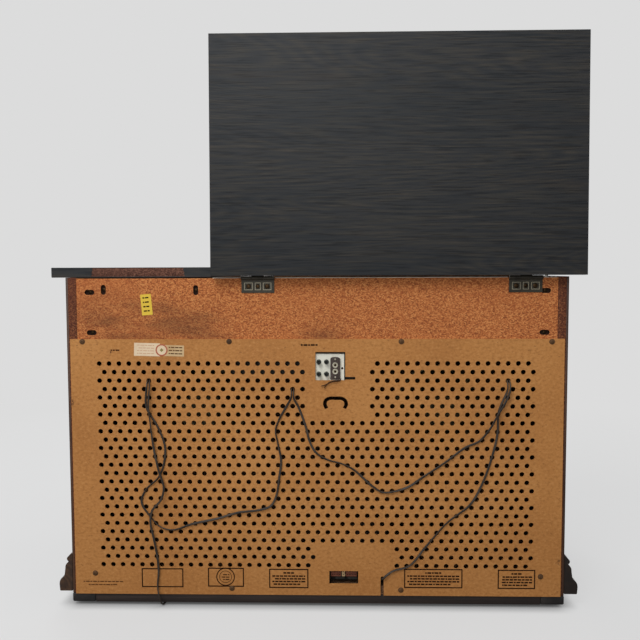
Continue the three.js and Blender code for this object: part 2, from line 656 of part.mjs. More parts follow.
function makeReceiver() {
  const [x0, x1, y0, y1] = [-80, 165, -160, REAR - RAIL_T - 0.6];
  const [z0, z1] = [445, DECK_TOP - DECK_T - GAP];
  const tray = cut(box(x0, x1, y0, y1, z0, z1), box(x0 + 1.5, x1 - 1.5, y0 + 1.5, y1 - 1.5, z0 + 1.5, z1 + 1));
  add('receiver_chassis', tray, zinc);
  const outline = rectangle(-95, 180, -176, 185);
  const [bx, by] = BUTTON_HALF.map((half) => half + 0.5);
  outline.holes.push(rectangle(...DIAL));
  for (const [, x] of BUTTONS) {
    outline.holes.push(rectangle(x - bx, x + bx, BUTTON_Y - by, BUTTON_Y + by));
  }
  for (const [, x] of KNOBS) {
    outline.holes.push(circle(x, KNOB_Y, 4.2));
  }
  add('receiver_faceplate', flatPlate(outline, DECK_TOP + GAP, FACE_TOP, 6), steel);
  for (const [name, x, r] of KNOBS) {
    const z = FACE_TOP + 0.6;
    const profile = [
      [0, z - 12], [3, z - 12], [3, z], [r, z], [r, z + 5], [r - 1.5, z + 17], [r - 3, z + 18], [0, z + 18],
    ];
    add(name, turnedZ(profile, x, KNOB_Y, 24), steel);
  }
  const [hx, hy] = BUTTON_HALF;
  for (const [name, x] of BUTTONS) {
    add(name, box(x - hx, x + hx, BUTTON_Y - hy, BUTTON_Y + hy, FACE_TOP - 7, FACE_TOP + 7), blackPlastic);
  }
  const needle = box(-52, -50, 104, 156, FACE_TOP - 5, FACE_TOP - 3.6);
  const carriage = box(-57, -45, 153, 163, FACE_TOP - 12, FACE_TOP - 4);
  add('dial_pointer', join(needle, carriage), finish('#c8452c', 0.5));
}

// ---------------------------------------------------------------- record changer
const PLATE_TOP = 562;
const PLATTER = [-305, 0];
const PLATTER_R = 132.5;
const PLATTER_TOP = 586;
const ARM = [-140, 105]; // tonearm pivot
const ARM_Z = 592;
const OVERARM = [-165, 128];
const SPINDLE_R = 3.6;

function makeChanger() {
  const z0 = DECK_TOP + GAP;
  const rim = box(-445, -115, -150, 148, z0, PLATE_TOP);
  const gearbox = box(-400, -200, -90, 60, 500, z0 + 1);
  const rest = barZ(PLATE_TOP - 1, ARM_Z - 6, ARM[0], -40, 4, 12);
  const stop = box(ARM[0] + 4.6, ARM[0] + 7, -44, -36, ARM_Z - 12, ARM_Z + 2);
  const bracket = box(ARM[0] - 2, ARM[0] + 6, -44, -36, ARM_Z - 12, ARM_Z - 6);
  add('changer_plate', join(rim, gearbox, rest, bracket, stop), finish('#2b2b2c', 0.5, 0.3));
  const bore = SPINDLE_R + 0.6;
  const platter = [
    [bore, PLATE_TOP + GAP], [20, PLATE_TOP + GAP], [20, 568], [PLATTER_R - 2, 568], [PLATTER_R, 570],
    [PLATTER_R, PLATTER_TOP - 3], [PLATTER_R - 4, PLATTER_TOP], [bore, PLATTER_TOP], [bore, PLATE_TOP + GAP],
  ];
  add('platter', turnedZ(platter, ...PLATTER, 48), blackPlastic);
  const spindle = [[0, PLATE_TOP + GAP], [SPINDLE_R, PLATE_TOP + GAP], [SPINDLE_R, 616], [0, 619]];
  add('spindle', turnedZ(spindle, ...PLATTER, 16), steel);
  makeOverarm();
  makeTonearm();
  const lever = join(
    box(-134, -122, -140, -128, PLATE_TOP + GAP, PLATE_TOP + 3),
    box(-131, -125, -138, -130, PLATE_TOP + 2, PLATE_TOP + 10),
  );
  add('changer_lever', lever, steel);
}

function makeOverarm() {
  const [x, y] = OVERARM;
  const reach = Math.hypot(PLATTER[0] - x, PLATTER[1] - y);
  const along = Math.atan2(PLATTER[1] - y, PLATTER[0] - x);
  const arm = flatPlate(stadium(0, 0, reach, 0, 5), 622, 627, 6);
  arm.rotateZ(along);
  arm.translate(x, y, 0);
  const post = barZ(PLATE_TOP + GAP, 624, x, y, 5);
  const pad = barZ(619.8, 623, ...PLATTER, 7);
  add('overarm', join(arm, post, pad), steel);
}

function makeTonearm() {
  const [x, y] = ARM;
  const base = turnedZ([[0, PLATE_TOP + GAP], [15, PLATE_TOP + GAP], [13.5, 583], [0, 583]], x, y, 20);
  const ears = [-1, 1].map((s) => box(x + s * 11 - 1.5, x + s * 11 + 1.5, y - 6, y + 6, 580, ARM_Z + 6));
  add('tonearm_gimbal', join(base, ...ears), steel);
  const block = box(x - 8.5, x + 8.5, y - 8, y + 8, ARM_Z - 6, ARM_Z + 6);
  const rod = barY(y - 190, y + 22, x, ARM_Z, 3.8, 12);
  const weight = barY(y + 18, y + 42, x, ARM_Z, 12.5, 20);
  const head = box(x - 8.5, x + 8.5, y - 228, y - 186, ARM_Z - 4, ARM_Z + 5);
  add('tonearm', join(block, rod, weight, head), steel);
}

// ---------------------------------------------------------------- lid, hinges and stay
const HINGES = [['right', 78], ['left', -428]]; // lower x of each hinge
const HINGE_W = 62.7;
const KNUCKLE_W = 20;
const PIN_R = 1.6;
const LEAF_T = 1.3;

// The lid and what is fixed to it are drawn closed, in a group turned about the hinge axis.
const lidPivot = new THREE.Group();
lidPivot.position.set(0, HINGE_Y, HINGE_Z);
lidPivot.rotation.x = -openLean;
const lidClosed = new THREE.Group();
lidClosed.position.set(0, -HINGE_Y, -HINGE_Z);
lidPivot.add(lidClosed);
group.add(lidPivot);

function makeLid() {
  const y0 = REAR - TOP_DEPTH;
  const z1 = TOP_UNDERSIDE + TOP_T;
  const panel = box(-TOP_HALF, LID_SPLIT - LID_GAP / 2, y0, REAR, TOP_UNDERSIDE, z1);
  add('lid_panel', panel, laminate, lidClosed);
}

function makeHinges() {
  for (const [side, x0] of HINGES) {
    const x1 = x0 + HINGE_W;
    const leaf = box(x0, x1, REAR + GAP, REAR + GAP + LEAF_T, 612, HINGE_Z - 2);
    const lower = barX(x0, x0 + KNUCKLE_W, HINGE_Y, HINGE_Z, HINGE_R, 14);
    const upper = barX(x1 - KNUCKLE_W, x1, HINGE_Y, HINGE_Z, HINGE_R, 14);
    const pin = barX(x0 + 1, x1 - 1, HINGE_Y, HINGE_Z, PIN_R, 12);
    const [m0, m1] = [x0 + KNUCKLE_W + 0.4, x1 - KNUCKLE_W - 0.4];
    const clearance = barX(m0 - 0.4, m1 + 0.4, HINGE_Y, HINGE_Z, HINGE_R + GAP, 14);
    add(`hinge_leaf_rail_${side}`, join(cut(leaf, clearance), lower, upper, pin), bronze);
    const z1 = TOP_UNDERSIDE - GAP;
    const flap = box(x0, x1, REAR - 22, REAR - GAP, z1 - LEAF_T, z1);
    const tongue = box(m0, m1, REAR - 2, HINGE_Y, z1 - LEAF_T, z1);
    const knuckle = barX(m0, m1, HINGE_Y, HINGE_Z, HINGE_R, 14);
    const bore = barX(m0 - 1, m1 + 1, HINGE_Y, HINGE_Z, PIN_R + GAP, 12);
    add(`hinge_leaf_lid_${side}`, cut(join(flap, tongue, knuckle), bore), bronze, lidClosed);
  }
}

// The folding stay: both links drawn as they stand with the lid open.
const STAY_FOOT = [130, 600]; // lower pivot on the left side: y, z
const STAY_LOWER = 182;
const STAY_UPPER = 68;
const STAY_LID_Y = 200; // lid pivot in front of the hinge axis, closed
const STAY_LID_DROP = 12.2; // lid pivot below the hinge axis, closed

function openPlace(y, z) {
  const [c, s] = [Math.cos(-openLean), Math.sin(-openLean)];
  return [HINGE_Y + y * c - z * s, HINGE_Z + y * s + z * c];
}

function link(x0, x1, [ya, za], [yb, zb], half, extra) {
  const outline = stadium(ya, za, yb, zb, half);
  const plate = sweep(outline, (u, v, w) => [x0 + w * (x1 - x0), u, v], 6);
  return join(plate, extra);
}

function makeStay() {
  const head = openPlace(-STAY_LID_Y, -STAY_LID_DROP);
  const [dy, dz] = [head[0] - STAY_FOOT[0], head[1] - STAY_FOOT[1]];
  const span = Math.hypot(dy, dz);
  const bend = Math.acos((STAY_LOWER ** 2 + span ** 2 - STAY_UPPER ** 2) / (2 * STAY_LOWER * span));
  const rise = Math.atan2(dz, dy) + bend;
  const elbow = [STAY_FOOT[0] + STAY_LOWER * Math.cos(rise), STAY_FOOT[1] + STAY_LOWER * Math.sin(rise)];
  const wall = -SIDE_IN + GAP;
  const foot = barX(wall, wall + 3, ...STAY_FOOT, 5);
  add('stay_lower_link', link(wall + 2.3, wall + 4.3, STAY_FOOT, elbow, 7, foot), zinc);
  const boss = barX(wall + 5, wall + 8.3, ...head, 5);
  add('stay_upper_link', link(wall + 4.6, wall + 6.6, elbow, head, 7, boss), zinc);
  const [y, z] = [HINGE_Y - STAY_LID_Y, HINGE_Z - STAY_LID_DROP];
  const x = wall + 8.6;
  const upright = box(x, x + 2, y - 9, y + 9, z - 7, BODY_TOP);
  const flange = box(x, x + 18, y - 14, y + 14, BODY_TOP - 1.5, BODY_TOP);
  add('stay_lid_bracket', join(upright, flange), zinc, lidClosed);
}

makeGlides();
makeBase();
makeMouldings();
makeCarcass();
makeDeck();
makeFixedTop();
makeFront();
makeSpeakers();
makeBackPanel();
makeJackPlate();
makePowerCord();
makePigtail();
makeAmplifier();
makeReceiver();
makeChanger();
makeLid();
makeHinges();
makeStay();

export default group;
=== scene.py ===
import math

import bmesh
import bpy
from mathutils import Matrix, Vector


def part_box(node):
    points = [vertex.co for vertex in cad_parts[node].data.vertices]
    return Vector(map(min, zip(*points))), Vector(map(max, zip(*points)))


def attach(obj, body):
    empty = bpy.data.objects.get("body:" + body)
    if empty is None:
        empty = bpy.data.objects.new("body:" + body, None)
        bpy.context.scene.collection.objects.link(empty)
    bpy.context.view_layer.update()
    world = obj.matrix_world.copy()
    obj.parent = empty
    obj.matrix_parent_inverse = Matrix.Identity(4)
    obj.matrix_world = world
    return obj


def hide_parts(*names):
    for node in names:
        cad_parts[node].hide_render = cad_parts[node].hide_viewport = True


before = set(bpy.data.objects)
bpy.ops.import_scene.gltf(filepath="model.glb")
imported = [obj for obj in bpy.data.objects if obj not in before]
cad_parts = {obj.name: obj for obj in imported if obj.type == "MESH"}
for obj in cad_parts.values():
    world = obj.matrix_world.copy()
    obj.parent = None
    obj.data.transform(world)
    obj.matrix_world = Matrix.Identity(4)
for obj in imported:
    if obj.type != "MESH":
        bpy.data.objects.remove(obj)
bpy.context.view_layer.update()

# The looks of a console stereo, seen from behind with its lid open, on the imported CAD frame.
# Lengths are in millimetres until a mesh is made, and the axes are the frame's: +Z up, the
# front faces -Y and the perforated back faces +Y.
MM = 0.001


def node_box(node):
    """A CAD node's lowest and highest corners, in millimetres."""
    low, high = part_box(node)
    return low / MM, high / MM


def add_object(name, data):
    """A new object, linked to the scene."""
    made = bpy.data.objects.new(name, data)
    bpy.context.scene.collection.objects.link(made)
    return made


def final_mesh(made):
    """A mesh of an object's shape once its curve or its modifiers are worked out."""
    bpy.context.view_layer.update()
    return bpy.data.meshes.new_from_object(made.evaluated_get(bpy.context.evaluated_depsgraph_get()))


# ---------------------------------------------------------------- places taken from the frame
RAIL_LOW, RAIL_HIGH = node_box("rear_rail")
PANEL_LOW, PANEL_HIGH = node_box("back_panel")
SIDE_LOW, SIDE_HIGH = node_box("side_panel_right")
FIXED_LOW, FIXED_HIGH = node_box("fixed_top")
BASE_LOW, BASE_HIGH = node_box("base_frame")
CLOTH_LOW, CLOTH_HIGH = node_box("grille_cloth")
REAR = RAIL_HIGH.y
FRONT = node_box("front_frame")[0].y
PANEL_FRONT = PANEL_LOW.y
PANEL_BACK = PANEL_HIGH.y
GAP = 0.3
OPEN_ANGLE = 88.6
HINGE_Y = REAR + 4.2
HINGE_Z = 640.2


# ---------------------------------------------------------------- camera
SENSOR_WIDTH = 36
FOCAL_LENGTH = 43.31
CAMERA_PLACE = (-0.0448, (PANEL_BACK + 1458.5) * MM, 0.6565)
CAMERA_AIM = Vector((0.0247, -0.9975, -0.0658))
CAMERA_ROLL = math.radians(0.19)


def make_camera():
    data = bpy.data.cameras.new("photo_camera")
    data.sensor_width = SENSOR_WIDTH
    data.lens = FOCAL_LENGTH
    camera = add_object("photo_camera", data)
    camera.location = CAMERA_PLACE
    camera.rotation_mode = "QUATERNION"
    roll = Matrix.Rotation(CAMERA_ROLL, 3, CAMERA_AIM).to_quaternion()
    camera.rotation_quaternion = roll @ CAMERA_AIM.to_track_quat("-Z", "Y")
    bpy.context.scene.camera = camera


make_camera()


# ---------------------------------------------------------------- finishes
def srgb(code):
    """A linear colour from a hex code."""
    parts = [int(code[i:i + 2], 16) / 255 for i in (0, 2, 4)]
    linear = [((c + 0.055) / 1.055) ** 2.4 if c > 0.04045 else c / 12.92 for c in parts]
    return (*linear, 1.0)


class Finish:
    """A procedural material on one of the record's slots. Its textures lie in object space, in metres."""

    def __init__(self, slot, name=None, roughness=0.5, metallic=0.0, specular=0.5):
        self.slot = slot
        self.material = bpy.data.materials.new(name or slot)
        self.material.use_nodes = True
        self.tree = self.material.node_tree
        self.shader = self.tree.nodes["Principled BSDF"]
        self.shader.inputs["Roughness"].default_value = roughness
        self.shader.inputs["Metallic"].default_value = metallic
        self.shader.inputs["Specular IOR Level"].default_value = specular
        self.place = self.tree.nodes.new("ShaderNodeTexCoord").outputs["Object"]

    def node(self, kind, inputs=None, **settings):
        node = self.tree.nodes.new(kind)
        for key, value in settings.items():
            setattr(node, key, value)
        for key, value in (inputs or {}).items():
            if isinstance(value, bpy.types.NodeSocket):
                self.tree.links.new(value, node.inputs[key])
            else:
                node.inputs[key].default_value = value
        return node

    def stretched(self, stretch):
        return self.node("ShaderNodeMapping", {"Vector": self.place, "Scale": stretch}).outputs[0]

    def noise(self, scale, detail=3.0, stretch=(1, 1, 1), distortion=0.0, roughness=0.55):
        settings = {
            "Vector": self.stretched(stretch), "Scale": scale, "Detail": detail,
            "Distortion": distortion, "Roughness": roughness,
        }
        return self.node("ShaderNodeTexNoise", settings).outputs["Fac"]

    def cells(self, scale, stretch=(1, 1, 1)):
        """A random tone for each cell."""
        node = self.node("ShaderNodeTexVoronoi", {"Vector": self.stretched(stretch), "Scale": scale})
        return self.node("ShaderNodeSeparateColor", {"Color": node.outputs["Color"]}).outputs[0]

    def along(self, axis):
        return self.node("ShaderNodeSeparateXYZ", {"Vector": self.place}).outputs[axis]

    def calc(self, operation, a, b=0.0, clamp=False):
        return self.node("ShaderNodeMath", {0: a, 1: b}, operation=operation, use_clamp=clamp).outputs[0]

    def blend(self, a, share, b):
        """A share of one value added to another."""
        return self.node("ShaderNodeMath", {0: a, 1: share, 2: b}, operation="MULTIPLY_ADD").outputs[0]

    def ramp(self, value, *stops):
        node = self.node("ShaderNodeValToRGB", {"Fac": value})
        elements = node.color_ramp.elements
        while len(elements) < len(stops):
            elements.new(0.5)
        for element, (position, code) in zip(elements, stops):
            element.position = position
            element.color = srgb(code)
        return node.outputs["Color"]

    def mask(self, value, low, high):
        """0 below low and 1 above high."""
        settings = {"Value": value, "From Min": low, "From Max": high}
        return self.node("ShaderNodeMapRange", settings).outputs["Result"]

    def mix(self, a, b, factor):
        return self.node("ShaderNodeMix", {0: factor, 6: a, 7: b}, data_type="RGBA").outputs[2]

    def tint(self, colour, code, mask, strength):
        """A colour turned towards another where a mask is."""
        return self.mix(colour, srgb(code), self.calc("MULTIPLY", mask, strength, True))

    def near(self, x, y, z, radius):
        """1 at a point, given in millimetres, falling to 0 at that distance."""
        centre = (x * MM, y * MM, z * MM)
        node = self.node("ShaderNodeVectorMath", {0: self.place, 1: centre}, operation="DISTANCE")
        return self.mask(node.outputs["Value"], radius * MM, 0.0)

    def paint(self, colour):
        self.tree.links.new(colour, self.shader.inputs["Base Color"])

    def painted(self):
        return self.shader.inputs["Base Color"].links[0].from_socket

    def gloss(self, value, low, high):
        settings = {"Value": value, "To Min": low, "To Max": high}
        output = self.node("ShaderNodeMapRange", settings).outputs["Result"]
        self.tree.links.new(output, self.shader.inputs["Roughness"])

    def relief(self, height, depth, strength=1.0):
        """Bump, with depth in millimetres."""
        node = self.node("ShaderNodeBump", {"Height": height, "Distance": depth * MM, "Strength": strength})
        self.tree.links.new(node.outputs["Normal"], self.shader.inputs["Normal"])

    def grain(self, along):
        """Growth rings and pores of wood whose grain runs along one axis."""
        stretch = [0.055 if axis == along else 1.0 for axis in "XYZ"]
        fine = [0.033 if axis == along else 1.0 for axis in "XYZ"]
        field = self.noise(5.5, 2.5, stretch, 0.8)
        rings = self.blend(self.calc("SINE", self.calc("MULTIPLY", field, 95.0)), 0.5, 0.5)
        return rings, self.noise(520, 2.0, fine)


def wood_finish(slot, tones, along, name=None, roughness=0.42):
    f = Finish(slot, name, roughness)
    rings, pores = f.grain(along)
    tone = f.blend(rings, 0.45, f.calc("MULTIPLY", f.noise(14, 4), 0.55))
    colour = f.ramp(tone, *zip((0.0, 0.5, 1.0), tones))
    colour = f.tint(colour, tones[0], f.mask(pores, 0.52, 0.34), 0.7)
    f.paint(f.tint(colour, tones[2], f.mask(f.noise(60, 5), 0.66, 0.8), 0.35))
    f.gloss(pores, roughness - 0.08, roughness + 0.14)
    f.relief(pores, 0.12, 0.5)
    return f


def laminate_finish():
    """Charcoal wood-print laminate with long level figure, some of it bluish and some brown."""
    f = Finish("laminate", roughness=0.6, specular=0.15)
    figure = f.noise(5, 4, (0.16, 1, 1), 0.9)
    lines = f.noise(190, 5, (0.05, 1, 1), 0.2, 0.65)
    pores = f.noise(420, 2, (0.04, 1, 1))
    rings = f.calc("SINE", f.calc("MULTIPLY", f.noise(3.2, 2.5, (0.14, 1, 1), 0.3), 620.0))
    tone = f.blend(rings, 0.055, lines)
    colour = f.ramp(tone, (0.3, "2a2d30"), (0.45, "333436"), (0.58, "3a3937"), (0.72, "44403c"))
    blue = f.mask(figure, 0.52, 0.38)
    brown = f.mask(f.noise(9, 4, (0.2, 1, 1), 0.6), 0.58, 0.75)
    colour = f.tint(colour, "272c30", blue, 0.4)
    colour = f.tint(colour, "3a3029", brown, 0.4)
    f.paint(f.tint(colour, "1b1b1c", f.mask(pores, 0.48, 0.34), 0.5))
    f.gloss(lines, 0.52, 0.68)
    f.relief(pores, 0.06, 0.4)
    return f


def chipboard_finish(name, tones, scale=1.0, cloud=0.5):
    """Pressed chips: a tone to each chip, with dark flecks and large soft clouds."""
    f = Finish("chipboard", name, 0.88, specular=0.25)
    chip = f.cells(430 * scale, (0.75, 1, 1))
    dust = f.noise(1100 * scale, 2)
    clouds = f.noise(6.5, 4, (0.6, 1, 1))
    tone = f.blend(chip, 0.62, f.calc("MULTIPLY", dust, 0.38))
    colour = f.ramp(tone, *zip((0.12, 0.36, 0.62, 0.88), tones))
    f.paint(f.tint(colour, tones[1], f.mask(clouds, 0.52, 0.3), cloud))
    f.relief(f.calc("ADD", chip, dust), 0.35, 0.7)
    return f


RAIL_GRIME = [(400, 560, 75), (335, 550, 85), (270, 540, 75), (205, 548, 60), (-20, 515, 70)]
PANEL_SCUFFS = [(394, 499, 7), (423, 489, 3), (-196, 84, 4), (-118, 88, 3), (470, 402, 8), (-470, 92, 9)]


def stain_and_shade_rail(f):
    """Grime low on the rail, and painted shade inside its pockets, which lie behind its face."""
    colour = f.painted()
    smear = f.mask(f.noise(24, 4, (0.4, 1, 1.6)), 0.3, 0.72)
    for x, z, radius in RAIL_GRIME:
        shade = f.calc("MULTIPLY", f.near(x, REAR, z, radius), smear)
        colour = f.tint(colour, "5a3a26", shade, 0.75)
    # Painted shade: all of the rail more than about a millimetre behind its rear face turns dark, which
    # shades the pockets and darkens the rail's hidden faces too.
    pocket = f.mask(f.along("Y"), (REAR - 0.4) * MM, (REAR - 1.2) * MM)
    f.paint(f.tint(colour, "2b1a12", pocket, 1.0))


def stain_inside(f):
    """The insides of the side boards, stained dark, with only their rear edges left bare."""
    inside = f.mask(f.along("Y"), (REAR - 3) * MM, (REAR - 7) * MM)
    f.paint(f.tint(f.painted(), "2a1c15", inside, 0.8))


def shade_moulding_end(f):
    """The left moulding's rear end, darkened almost black with painted shade."""
    rear = f.mask(f.along("Y"), (REAR - 2) * MM, (REAR - 0.5) * MM)
    left = f.mask(f.along("X"), -0.4, -0.45)
    f.paint(f.tint(f.painted(), "16110f", f.calc("MULTIPLY", rear, left), 0.85))


def hardboard_finish():
    """Tan pressed hardboard: fine fibre, faint clouds, stray dark fibres, a few scuffs and painted shade
    towards its foot.
    """
    f = Finish("hardboard", roughness=0.7, specular=0.3)
    fibre = f.noise(620, 4, (0.6, 1, 1))
    clouds = f.noise(5, 5, distortion=0.4)
    tone = f.blend(clouds, 0.7, f.calc("MULTIPLY", fibre, 0.35))
    colour = f.ramp(tone, (0.3, "a86e38"), (0.52, "ba7f44"), (0.76, "c78d50"))
    # Painted shade: the panel turns darker below 0.2 m, towards its foot.
    colour = f.tint(colour, "8f5c2e", f.mask(f.along("Z"), 0.2, 0.04), 0.2)
    mottle = f.noise(210, 3, (0.7, 1, 1))
    colour = f.tint(colour, "94602f", f.mask(mottle, 0.5, 0.3), 0.55)
    colour = f.tint(colour, "cf9a60", f.mask(mottle, 0.54, 0.72), 0.4)
    colour = f.tint(colour, "7d5029", f.mask(f.noise(260, 2, (0.5, 1, 1)), 0.66, 0.74), 0.6)
    for x, z, radius in PANEL_SCUFFS:
        stain = f.calc("MULTIPLY", f.near(x, PANEL_BACK, z, radius), f.mask(f.noise(230, 3), 0.45, 0.6))
        colour = f.tint(colour, "5d3a1f", stain, 1.6)
    f.paint(colour)
    f.gloss(fibre, 0.6, 0.82)
    f.relief(fibre, 0.1, 0.5)
    return f


def metal_finish(slot, name, colour, spots, roughness, metallic=1.0, brushed=None):
    """Metal with faint tarnish, brushed along one axis or cast."""
    f = Finish(slot, name, roughness, metallic)
    stretch = [0.02 if axis == brushed else 1.0 for axis in "XYZ"]
    fine = f.noise(900 if brushed else 420, 3, stretch)
    stain = f.mask(f.noise(38, 5), 0.5, 0.75)
    f.paint(f.tint(f.tint(srgb(colour), spots, stain, 1.0), spots, fine, 0.3))
    f.gloss(fine, max(roughness - 0.1, 0.05), roughness + 0.14)
    f.relief(fine, 0.03, 0.35)
    return f


def moulded_finish(slot, name, colour, worn, roughness, depth=0.05, scale=700, specular=0.5):
    """Moulded plastic, rubber or card: a fine tooth, dust in places and a little wear."""
    f = Finish(slot, name, roughness, specular=specular)
    tooth = f.noise(scale, 3)
    dust = f.mask(f.noise(45, 5), 0.5, 0.78)
    f.paint(f.tint(srgb(colour), worn, dust, 0.6))
    f.gloss(tooth, max(roughness - 0.08, 0.05), roughness + 0.12)
    f.relief(tooth, depth, 0.5)
    return f


def cloth_finish():
    """Gold and brown grille cloth, woven of slubby yarns that cross at right angles."""
    f = Finish("cloth", roughness=0.95, specular=0.2)
    warp, weft = (f.calc("SINE", f.calc("MULTIPLY", f.along(axis), 2900.0)) for axis in "XZ")
    weave = f.calc("MULTIPLY", warp, weft)
    slub = f.noise(240, 3, (0.12, 1, 1))
    colour = f.ramp(slub, (0.3, "4a3a20"), (0.5, "7e683e"), (0.68, "a88f58"))
    f.paint(f.tint(colour, "2e2414", f.mask(weave, 0.1, -0.8), 1.0))
    f.relief(weave, 0.4, 0.8)
    return f


def wood(along):
    """The stained dark wood of the front, made once for each direction of grain."""
    key = f"dark_wood_{along.lower()}"
    if key not in FINISHES:
        FINISHES[key] = wood_finish("dark_wood", ("261812", "46301f", "5d412b"), along, key)
        # The copy with grain along Y carries painted shade on the left moulding's rear end.
        if along == "Y":
            shade_moulding_end(FINISHES[key])
    return FINISHES[key]


FINISHES = {}
LAMINATE = laminate_finish()
HARDBOARD = hardboard_finish()
RAIL_BROWNS = ("743d22", "a95f34", "c57a45", "da965a")
RAIL_BOARD = chipboard_finish("rail_chipboard", RAIL_BROWNS, scale=1.35, cloud=0.35)
stain_and_shade_rail(RAIL_BOARD)
SIDE_BOARD = chipboard_finish("side_chipboard", ("3b1f15", "582f20", "6c3d28", "94603c"), scale=1.5)
stain_inside(SIDE_BOARD)
BARE_EDGE = chipboard_finish("bare_chipboard", ("34201a", "54352a", "694538", "8a6350"), scale=1.5)
PLAIN_BOARD = chipboard_finish("inner_chipboard", ("33241a", "4f3826", "644833", "7d5e44"), scale=1.4)
SIDE_WOOD = wood_finish("side_wood", ("2b1a13", "4b3122", "644530"), "Z")
INNER_SKIN = wood_finish("black_edge", ("17120f", "2a211c", "3b2f28"), "X", "inner_skin", 0.5)
BASE_BLACK = moulded_finish("black_edge", "base_black", "1b1817", "3a3431", 0.55, 0.12, 300)
BASE_BROWN = wood_finish("black_edge", ("1c1412", "30241f", "40312a"), "X", "base_brown", 0.6)
BRONZE = metal_finish("bronze", None, "453524", "1c150f", 0.38)
DULL_BRONZE = metal_finish("bronze", "dull_bronze", "6a4a2a", "38271a", 0.65, 0.3)
# Pale bronze for the hinges' pressed rims: a painted highlight on their raised edges.
HINGE_RIM_HIGHLIGHT = metal_finish("bronze", "hinge_rim_highlight", "a29a84", "5c5546", 0.45, 0.4)
HINGE_BRONZE = metal_finish("bronze", "hinge_bronze", "403c32", "24201a", 0.5, 0.5)
DARK_METAL = metal_finish("zinc", "dark_chassis", "383630", "24221e", 0.6, 0.4)
ZINC = metal_finish("zinc", None, "b4b3aa", "7d7c70", 0.34)
PALE_ZINC = metal_finish("zinc", "pale_zinc", "f4f2e4", "cdcbb4", 0.55, 0.0)
CUP_ZINC = metal_finish("zinc", "cup_zinc", "c2bba6", "8d8672", 0.5, 0.0)
GREEN_ZINC = metal_finish("zinc", "basket_zinc", "7c765a", "4c4733", 0.5, 0.5)
STEEL = metal_finish("steel", None, "c3c5c8", "8c8e92", 0.24)
BRUSHED = metal_finish("steel", "brushed_aluminium", "c6c7c5", "b3b4b3", 0.3, 1.0, "X")
PHENOLIC = moulded_finish("phenolic", None, "3f3128", "6b584a", 0.6)
TERMINAL = moulded_finish("phenolic", "terminal_card", "41352f", "5d4f47", 0.7)
SOCKET_BROWN = moulded_finish("phenolic", "socket_brown", "7a412c", "9a5f45", 0.55)
JACK_SHELL = moulded_finish("phenolic", "jack_shell", "11160f", "27301f", 0.5)
VINYL = moulded_finish("vinyl", None, "30271f", "5a4d40", 0.55, 0.08, 260)
WIRE_BROWN = moulded_finish("vinyl", "wire_brown", "3f2411", "6b4526", 0.6, specular=0.2)
BLACK = moulded_finish("black_plastic", None, "151516", "333230", 0.4)
RUBBER = moulded_finish("black_plastic", "mat_rubber", "1a1a1b", "3b3936", 0.8, 0.1)
DECK_VINYL = moulded_finish("black_plastic", "deck_vinyl", "1e1a18", "3a342f", 0.55, 0.15, 380)
CONE_PAPER = moulded_finish("paper", None, "4a4842", "6f6c62", 0.95, 0.25, 260)
CHANGER = moulded_finish("changer_enamel", None, "242527", "43423f", 0.35, 0.04)
POINTER = moulded_finish("pointer_red", None, "c23f28", "8a2f20", 0.45)
LABEL_WHITE = moulded_finish("hardboard", "label_white", "e6cfae", "cdaa80", 0.75)
LABEL_GREY = moulded_finish("hardboard", "label_grey", "cfb184", "ad8a5c", 0.75)
LABEL_YELLOW = moulded_finish("hardboard", "label_yellow", "e2bf3c", "bf9a2b", 0.7)
INK = moulded_finish("hardboard", "ink", "2a1509", "3b2110", 0.8, specular=0.1)
INK_FAINT = moulded_finish("hardboard", "ink_faint", "502e17", "75491f", 0.8, specular=0.1)
INK_RED = moulded_finish("hardboard", "ink_red", "b25c40", "c48265", 0.8)
INK_OLIVE = moulded_finish("hardboard", "ink_olive", "8f8247", "a99a5e", 0.8)
INK_PINK = moulded_finish("hardboard", "ink_pink", "cf9f7f", "dab292", 0.8)
COPPER = metal_finish("bronze", "copper", "b56e45", "7b4a30", 0.3)
GOLD = metal_finish("bronze", "gold_trim", "b29258", "7f6537", 0.3)
CLOTH = cloth_finish()


def glass_finish():
    f = Finish("steel", "dial_glass", 0.08)
    f.shader.inputs["Transmission Weight"].default_value = 0.92
    f.shader.inputs["IOR"].default_value = 1.45
    dust = f.noise(55, 5)
    f.paint(f.mix(srgb("f4f7f4"), srgb("dfe2dc"), dust))
    f.gloss(dust, 0.04, 0.14)
    return f


GLASS = glass_finish()


# ---------------------------------------------------------------- making pieces
def add_piece(name, mesh, finish, body="cabinet", replaces=(), smooth=30.0):
    """An object from a mesh: it rides on its body, has its finish and stands for its CAD nodes."""
    mesh.name = name
    if smooth:
        mesh.shade_smooth()
        mesh.set_sharp_from_angle(angle=math.radians(smooth))
    mesh.materials.clear()
    mesh.materials.append(finish.material)
    piece = add_object(name, mesh)
    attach(piece, body)
    if replaces:
        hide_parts(*replaces)
    return piece


def carry(node, finish, bevel=0.4, segments=2):
    """A CAD node whose shape is right: it keeps its mesh, and gets a finish and eased edges."""
    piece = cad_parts[node]
    for slot in piece.material_slots:
        slot.material = finish.material
    weld = piece.modifiers.new("weld", "WELD")
    weld.merge_threshold = 0.00001
    if bevel:
        ease = piece.modifiers.new("eased_edges", "BEVEL")
        ease.width = bevel * MM
        ease.segments = segments
        ease.limit_method = "ANGLE"
        ease.angle_limit = math.radians(32)
        ease.harden_normals = False
    return piece


def mesh_from(bm):
    """A mesh in metres from a bmesh in millimetres."""
    bmesh.ops.recalc_face_normals(bm, faces=bm.faces)
    bmesh.ops.transform(bm, matrix=Matrix.Scale(MM, 4), verts=bm.verts)
    mesh = bpy.data.meshes.new("mesh")
    bm.to_mesh(mesh)
    bm.free()
    return mesh


